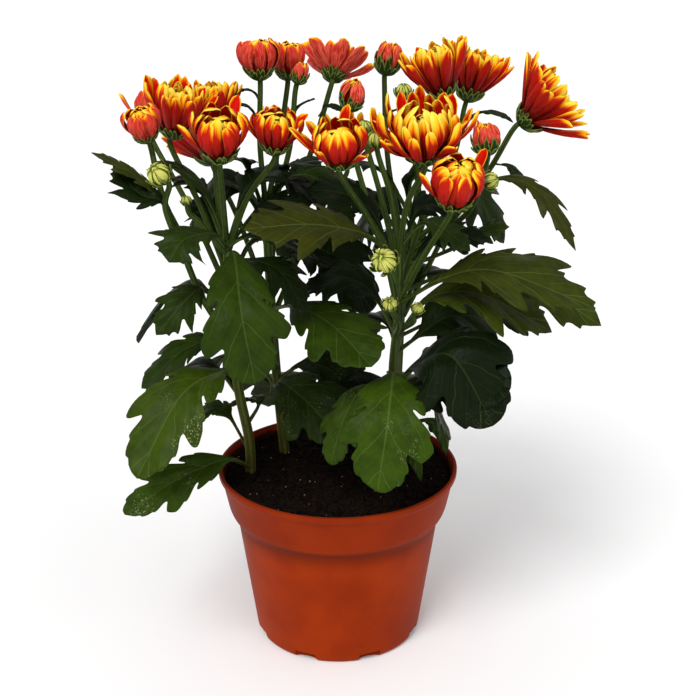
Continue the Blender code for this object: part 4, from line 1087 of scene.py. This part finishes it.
# %% Bands of florets
# count, then outer and inner pairs: length, width, root lean, tip lean, root radius, root
# height, hook and gilt.
BANDS = {
    "bowl": (
        (18, (25, 24), (5.8, 5.6), (64, 54), (30, 12), (6.0, 5.4), (4.6, 5.4), (0.1, 0.18), (0.05, 0.3)),
        (20, (22.5, 20), (5.6, 5.0), (52, 38), (14, -6), (5.4, 4.2), (5.4, 6.6), (0.22, 0.3), (0.35, 0.7)),
        (20, (17, 13), (4.6, 3.8), (38, 20), (-10, -44), (4.2, 2.4), (6.4, 7.6), (0.3, 0.3), (0.6, 0.9)),
        (14, (11, 8), (3.6, 2.8), (16, 3), (-50, -100), (2.2, 0.3), (7.4, 8.2), (0.2, 0.1), (0.85, 1.0)),
    ),
    "open": (
        (16, (26, 25), (6.4, 6.0), (58, 50), (44, 34), (6.0, 5.6), (4.6, 5.4), (0.0, 0.04), (0.0, 0.15)),
        (18, (24, 22), (6.0, 5.4), (46, 34), (24, 4), (5.6, 4.6), (5.4, 6.4), (0.06, 0.12), (0.15, 0.5)),
        (20, (20, 16), (5.0, 4.0), (30, 14), (0, -36), (4.6, 2.2), (6.4, 7.8), (0.16, 0.22), (0.5, 0.9)),
        (12, (13, 9), (3.6, 2.8), (12, 3), (-50, -90), (2.0, 0.3), (7.8, 8.6), (0.1, 0.1), (0.9, 1.0)),
    ),
    "fan": (
        (14, (25, 24), (6.4, 6.0), (48, 42), (26, 14), (6.0, 5.6), (4.6, 5.4), (0.04, 0.1), (0.0, 0.2)),
        (18, (23, 21), (6.0, 5.2), (38, 28), (6, -10), (5.6, 4.6), (5.4, 6.4), (0.12, 0.2), (0.3, 0.7)),
        (20, (19, 15), (5.0, 4.0), (26, 12), (-14, -42), (4.6, 2.2), (6.4, 7.8), (0.2, 0.25), (0.6, 0.9)),
        (12, (13, 9), (3.6, 2.8), (12, 3), (-50, -90), (2.0, 0.3), (7.8, 8.6), (0.1, 0.1), (0.9, 1.0)),
    ),
    "turned": (
        (9, (23, 22), (10, 9.4), (70, 62), (54, 42), (6.0, 5.6), (4.2, 4.8), (0.02, 0.06), (0.0, 0.2)),
        (11, (20, 18), (8.0, 6.6), (56, 40), (34, 12), (5.4, 4.2), (4.8, 6.6), (0.06, 0.12), (0.2, 0.6)),
        (14, (14, 9), (5.0, 3.4), (34, 3), (-10, -80), (4.0, 0.3), (6.4, 8.0), (0.15, 0.2), (0.7, 1.0)),
    ),
    "half": (
        (14, (21, 20), (6.6, 6.0), (54, 46), (0, -14), (5.9, 5.0), (4.6, 5.6), (0.2, 0.28), (0.1, 0.35)),
        (15, (18, 14.5), (5.4, 4.4), (40, 22), (-24, -60), (4.8, 2.8), (5.6, 7), (0.28, 0.26), (0.35, 0.8)),
        (12, (11, 7.5), (3.8, 2.8), (18, 3), (-60, -105), (2.6, 0.3), (6.8, 7.6), (0.15, 0.0), (0.8, 1.0)),
    ),
    "cup": (
        (10, (20.5, 20), (7.8, 7.2), (58, 52), (-34, -42), (6.0, 5.6), (4.4, 4.8), (0.1, 0.14), (0.05, 0.2)),
        (12, (20, 18.5), (6.6, 5.6), (48, 36), (-42, -56), (5.4, 4.4), (4.8, 5.8), (0.16, 0.2), (0.25, 0.6)),
        (14, (17, 13), (4.8, 3.8), (34, 18), (-56, -84), (4.4, 2.4), (5.8, 7.2), (0.15, 0.1), (0.6, 0.9)),
        (8, (10, 7.5), (3.4, 2.8), (14, 3), (-70, -100), (2.0, 0.3), (7.2, 8.0), (0.0, 0.0), (0.9, 1.0)),
    ),
    "bud": (
        (14, (14.0, 12.5), (6.2, 5.2), (48, 34), (-54, -70), (4.8, 3.4), (4.0, 5.0), (0.0, 0.0), (0.0, 0.4)),
        (8, (9, 7.5), (4.2, 3.2), (24, 3), (-60, -80), (2.2, 0.3), (5.4, 6.4), (0.0, 0.0), (0.5, 1.0)),
    ),
}
# Petals that have opened before the rest of their head: how many, and the heading of the first.
LOOSE = ((22, 21), (6.2, 6.0), (60, 54), (44, 32), (6.0, 5.8), (4.5, 4.6), (0.0, 0.02), (0.0, 0.1))
LOOSE_PETALS = {"j": (5, 175), "o": (2, 62), "n": (2, 15), "m": (4, 178), "l": (2, 40), "r": (3, 100)}


def whorls(*rows):
    """Bands whose outer and inner ends are alike, without hook or gilt."""
    return tuple((count, *((value, value) for value in values), (0, 0), (0, 0)) for count, *values in rows)


# count, then length, width, root lean, tip lean, root radius and root height.
BRACTS = whorls((9, 6.6, 3.4, 88, 30, 1.3, -0.1), (11, 8.6, 3.6, 88, 20, 1.3, 0.3),
                (13, 10.4, 3.6, 86, 12, 1.2, 0.7))
BUD_SEPALS = whorls((8, 8.0, 3.8, 88, 10, 1.2, -0.1), (10, 10.6, 4.0, 84, -8, 1.0, 0.4),
                    (10, 12.6, 4.0, 80, -16, 0.8, 0.9))
# A green bud of radius 1: its folded petals, then its sepals.
GREEN_BANDS = whorls((15, 2.75, 0.5, 76, -84, 0.34, 0.05))
GREEN_SEPALS = whorls((7, 1.5, 0.62, 86, 6, 0.3, -0.12), (8, 2.0, 0.62, 82, -8, 0.3, -0.06))
# How pale the petals of a head are, where that isn't the usual.
PALE_USUAL = 0.1
PALE_HEADS = {"a": 0.55, "b": 0.45, "c": 0.8, "e": 1.0, "f": 0.9, "k": 0.8, "d": 0.8, "q": 0.5, "r": 0.6}


# How much a petal is cupped, how late it comes to its point, and its shake in degrees.
RAY_STYLE, BRACT_STYLE = (0.6, 8.0, 6.0), (0.3, 2.6, 4.0)
FOLDED_STYLE, SEPAL_STYLE = (0.5, 5.0, 3.0), (0.4, 2.6, 3.0)
# Steps from one band, head or bud to the next: of the turn, and of the seed.
BAND_TURN, HEAD_TURN, BRACT_TURN = 0.7, 97, 61
BAND_SEED, RAY_SEED, RAY_SEED_START, BRACT_SEED, FOLDED_SEED, SEPAL_SEED = 10, 31, 5, 17, 13, 19


def grow(name, bands, finish, seed, style, pale=0.0, unit_mm=1.0, turn=0.0):
    """A plain mesh object of one or more bands of florets, in the head's own frame."""
    cup, point, shake = style
    made = bpy.data.objects.new(name, bpy.data.meshes.new(name))
    bpy.context.scene.collection.objects.link(made)
    for k, (count, *pairs, gilt) in enumerate(bands):
        values = {"Count": count, "Cup": cup, "Point": point, "Shake": math.radians(shake),
                  "Gilt From": gilt[0], "Gilt To": gilt[1], "Pale": pale, "Seed": seed + BAND_SEED * k,
                  "Turn": math.radians(turn) + k * BAND_TURN, "Finish": finish}
        for title, pair in zip(RANGES, pairs):
            factor = math.radians(1) if "Lean" in title else 1.0 if title == "Hook" else unit_mm * MM
            values["Outer " + title], values["Inner " + title] = (float(v) * factor for v in pair)
        feed(made, FLORETS, values)
    return baked(made)


def head_frame(seat, axis, size):
    """The matrix that stands a head's own Z along its axis, with its foot at the seat."""
    turn = Vector(axis).normalized().to_track_quat("Z", "Y").to_matrix().to_4x4()
    return Matrix.Translation(Vector(seat) * MM) @ turn @ Matrix.Scale(size, 4)


def seated(piece, seat, axis, size=1.0):
    """Moves the piece's mesh from the head's own frame to its place on the plant."""
    piece.data.transform(head_frame(seat, axis, size))
    return piece


def joined(name, pieces):
    """The pieces as one object of that name."""
    with bpy.context.temp_override(active_object=pieces[0], selected_editable_objects=pieces):
        bpy.ops.object.join()
    pieces[0].name = name
    pieces[0].data.name = name
    return pieces[0]


CORE_RINGS, CORE_SIDES = 10, 24
CORE_NUMBERS = {"along": 0.1, "across": 0.0, "under": 1.0, "gilt": 0.0, "pale": 0.0, "light_tone": 0.0}


def core(radius, foot, height, finish):
    """The small closed egg inside a head, which the florets stand on."""
    profile = [(0.0, foot)]
    for k in range(1, CORE_RINGS):
        angle = math.pi * k / CORE_RINGS
        profile.append((radius * math.sin(angle), foot + height * (1 - math.cos(angle)) / 2))
    made = turned("core", profile + [(0.0, foot + height)], CORE_SIDES, finish)
    made.data.shade_smooth()
    for key, value in CORE_NUMBERS.items():
        numbers = made.data.attributes.new(key, "FLOAT", "POINT")
        numbers.data.foreach_set("value", np.full(len(made.data.vertices), value, np.float32))
    return made


# %% [markdown]
# The flower heads
#
# Every head of the part gets its florets here, each with a seed of its own, so that no two are
# alike. The florets of a head become one piece, which takes the place of that head's solid.

# %% Grow the heads
CORES = {"bowl": (6.2, 1.6, 9), "open": (6.2, 1.6, 9), "fan": (6.2, 1.6, 9), "turned": (6.2, 1.6, 9),
         "half": (6.4, 1.6, 12), "cup": (7.0, 1.6, 14), "bud": (5.2, 1.6, 12)}
for number, (name, kind, size, _, line, axis) in enumerate(HEADS):
    bands, heading = BANDS[kind], HEAD_TURN * number
    if name in LOOSE_PETALS:
        loose, heading = LOOSE_PETALS[name]
        bands = ((loose, *LOOSE), *bands)
    pale = PALE_HEADS.get(name, PALE_USUAL)
    seed = RAY_SEED * number + RAY_SEED_START
    rays = grow("florets", bands, PETAL, seed, RAY_STYLE, pale, turn=heading)
    heart = core(*CORES[kind], PETAL)
    head = joined("florets_" + name, [rays, heart])
    seated(head, line[-1], axis, size)
    settle(head, "bloom_" + name)
print("heads grown:", len(HEADS))

# %% [markdown]
# The leafy stems
#
# Last, each stem is put together: its own tube, its side shoots, the stalks with the bracts at
# their ends, the green buds and the leaves. On the part these are one solid for each stem, so
# here they are one piece for each stem too.

# %% Put each stem together
STEM_RADII, SHOOT_RADII, STALK_RADII = (3.0, 2.1), (1.8, 1.5), (1.5, 1.3)
# Rings and sides of each tube; a stalk has its own ribs and rib depth too.
STEM_MESH, SHOOT_MESH, STALK_MESH = (80, 24), (40, 20), (30, 12, 5, 0.07)
STALK_STRAIGHT, STALK_SINK = 5, 1.2
# Cores as radius, foot and height; a green bud's are shares of its radius.
CUP_CORE, BUD_CORE, BUD_GIRTH = (5.6, -0.8, 7.4), (0.93, 0.06, 1.86), 0.85
# The filler leaves get a low tone, painted shade for leaves deep inside the plant.
FILLER_LIGHT_TONE, FILLER_SEED = 0.25, 100


def stalk(line, axis):
    """A head's stalk, which ends along the head's axis just inside its bracts."""
    seat, way = np.array(line[-1], float), unit(np.array(axis, float))
    end = (tuple(seat - way * STALK_STRAIGHT), tuple(seat + way * STALK_SINK))
    return tube([*line[:-1], *end], STALK_RADII, *STALK_MESH)


def leafy_stem(name):
    path = STEMS[name]
    parts = [tube(path, STEM_RADII, *STEM_MESH)]
    parts += [tube(line, SHOOT_RADII, *SHOOT_MESH) for owner, line in SHOOTS if owner == name]
    for number, (_, kind, size, owner, line, axis) in enumerate(HEADS):
        if owner == name:
            parts.append(stalk(line, axis))
            bands = BUD_SEPALS if kind == "bud" else BRACTS
            bracts = grow("bracts", bands, SEPAL, BRACT_SEED * number, BRACT_STYLE, turn=BRACT_TURN * number)
            cup_core = core(*CUP_CORE, SEPAL)
            parts += [seated(bracts, line[-1], axis, size), seated(cup_core, line[-1], axis, size)]
    for number, (owner, line, axis, girth) in enumerate(GREEN_BUDS):
        if owner == name:
            radius = girth * BUD_GIRTH
            parts.append(stalk(line, axis))
            petals = grow("petals", GREEN_BANDS, YOUNG_BUD, FOLDED_SEED * number, FOLDED_STYLE, unit_mm=radius)
            sepals = grow("sepals", GREEN_SEPALS, SEPAL, SEPAL_SEED * number, SEPAL_STYLE, unit_mm=radius)
            heart = core(*(radius * share for share in BUD_CORE), YOUNG_BUD)
            parts += [seated(piece, line[-1], axis) for piece in (petals, sepals, heart)]
    for number, (owner, root, bend, crest, tip, width, roll, light_tone) in enumerate(LEAVES):
        if owner == name:
            start = root if isinstance(root, tuple) else at_height(path, root)
            parts += leaf((start, bend, crest, tip), width, roll, light_tone, number)
    for number, (owner, height, heading, reach, width, roll) in enumerate(FILLERS):
        if owner == name:
            line = filler_line(at_height(path, height), heading, reach)
            parts += leaf(line, width, roll, FILLER_LIGHT_TONE, FILLER_SEED + number)
    return joined("leafy_" + name, parts)


for name in STEMS:
    plant = leafy_stem(name)
    settle(plant, name)
    print(name, "faces:", len(plant.data.polygons))

# %% [markdown]
# Floor, light and camera
#
# The plant stands on a wide pale floor, under one broad soft lamp from the front left, as large
# and as far as a window, a weak lamp from the right, and a bright even sky. A lamp of the Sun
# type lights the floor evenly all the way back, which an area lamp nearby does not. The camera
# stands a little above the plant and looks down on it by about 21 degrees.

# %% The stage
def soft_lamp(name, heading, height, spread, strength):
    """A far lamp at that heading and height in degrees, which looks that many degrees wide."""
    data = bpy.data.lights.new(name, "SUN")
    data.angle, data.energy = math.radians(spread), strength
    lamp = bpy.data.objects.new(name, data)
    lamp.rotation_euler = (math.radians(90 - height), 0.0, math.radians(heading))
    bpy.context.scene.collection.objects.link(lamp)
    return lamp


FLOOR_WIDTH, FLOOR_GREY, SKY_STRENGTH, SENSOR_WIDTH = 30.0, 0.93, 0.66, 36.0
_, shader, floor_paint = material("matt_white_backdrop", 0.9)
shader.inputs["Base Color"].default_value = (FLOOR_GREY, FLOOR_GREY, FLOOR_GREY, 1.0)
bpy.ops.mesh.primitive_plane_add(size=FLOOR_WIDTH)
floor = bpy.context.object
floor.name = "floor"
floor.data.materials.append(floor_paint)

world = bpy.data.worlds.new("studio")
world.use_nodes = True
sky = world.node_tree.nodes["Background"]
sky.inputs["Color"].default_value = (1.0, 1.0, 1.0, 1.0)
sky.inputs["Strength"].default_value = SKY_STRENGTH
bpy.context.scene.world = world
bpy.context.scene.view_settings.view_transform = "Standard"
soft_lamp("key", -24, 50, 26, 1.9)
soft_lamp("fill", 50, 35, 40, 0.35)

CAMERA_PLACE, CAMERA_PITCH, FOCAL_PIXELS, FRAME_PIXELS = (0.0056, -0.662, 0.416), 20.75, 1338, 696
camera_data = bpy.data.cameras.new("camera")
camera_data.sensor_width = SENSOR_WIDTH
camera_data.lens = camera_data.sensor_width * FOCAL_PIXELS / FRAME_PIXELS
camera = bpy.data.objects.new("camera", camera_data)
camera.location = CAMERA_PLACE
camera.rotation_euler = (math.radians(90 - CAMERA_PITCH), 0.0, 0.0)
bpy.context.scene.collection.objects.link(camera)
bpy.context.scene.camera = camera
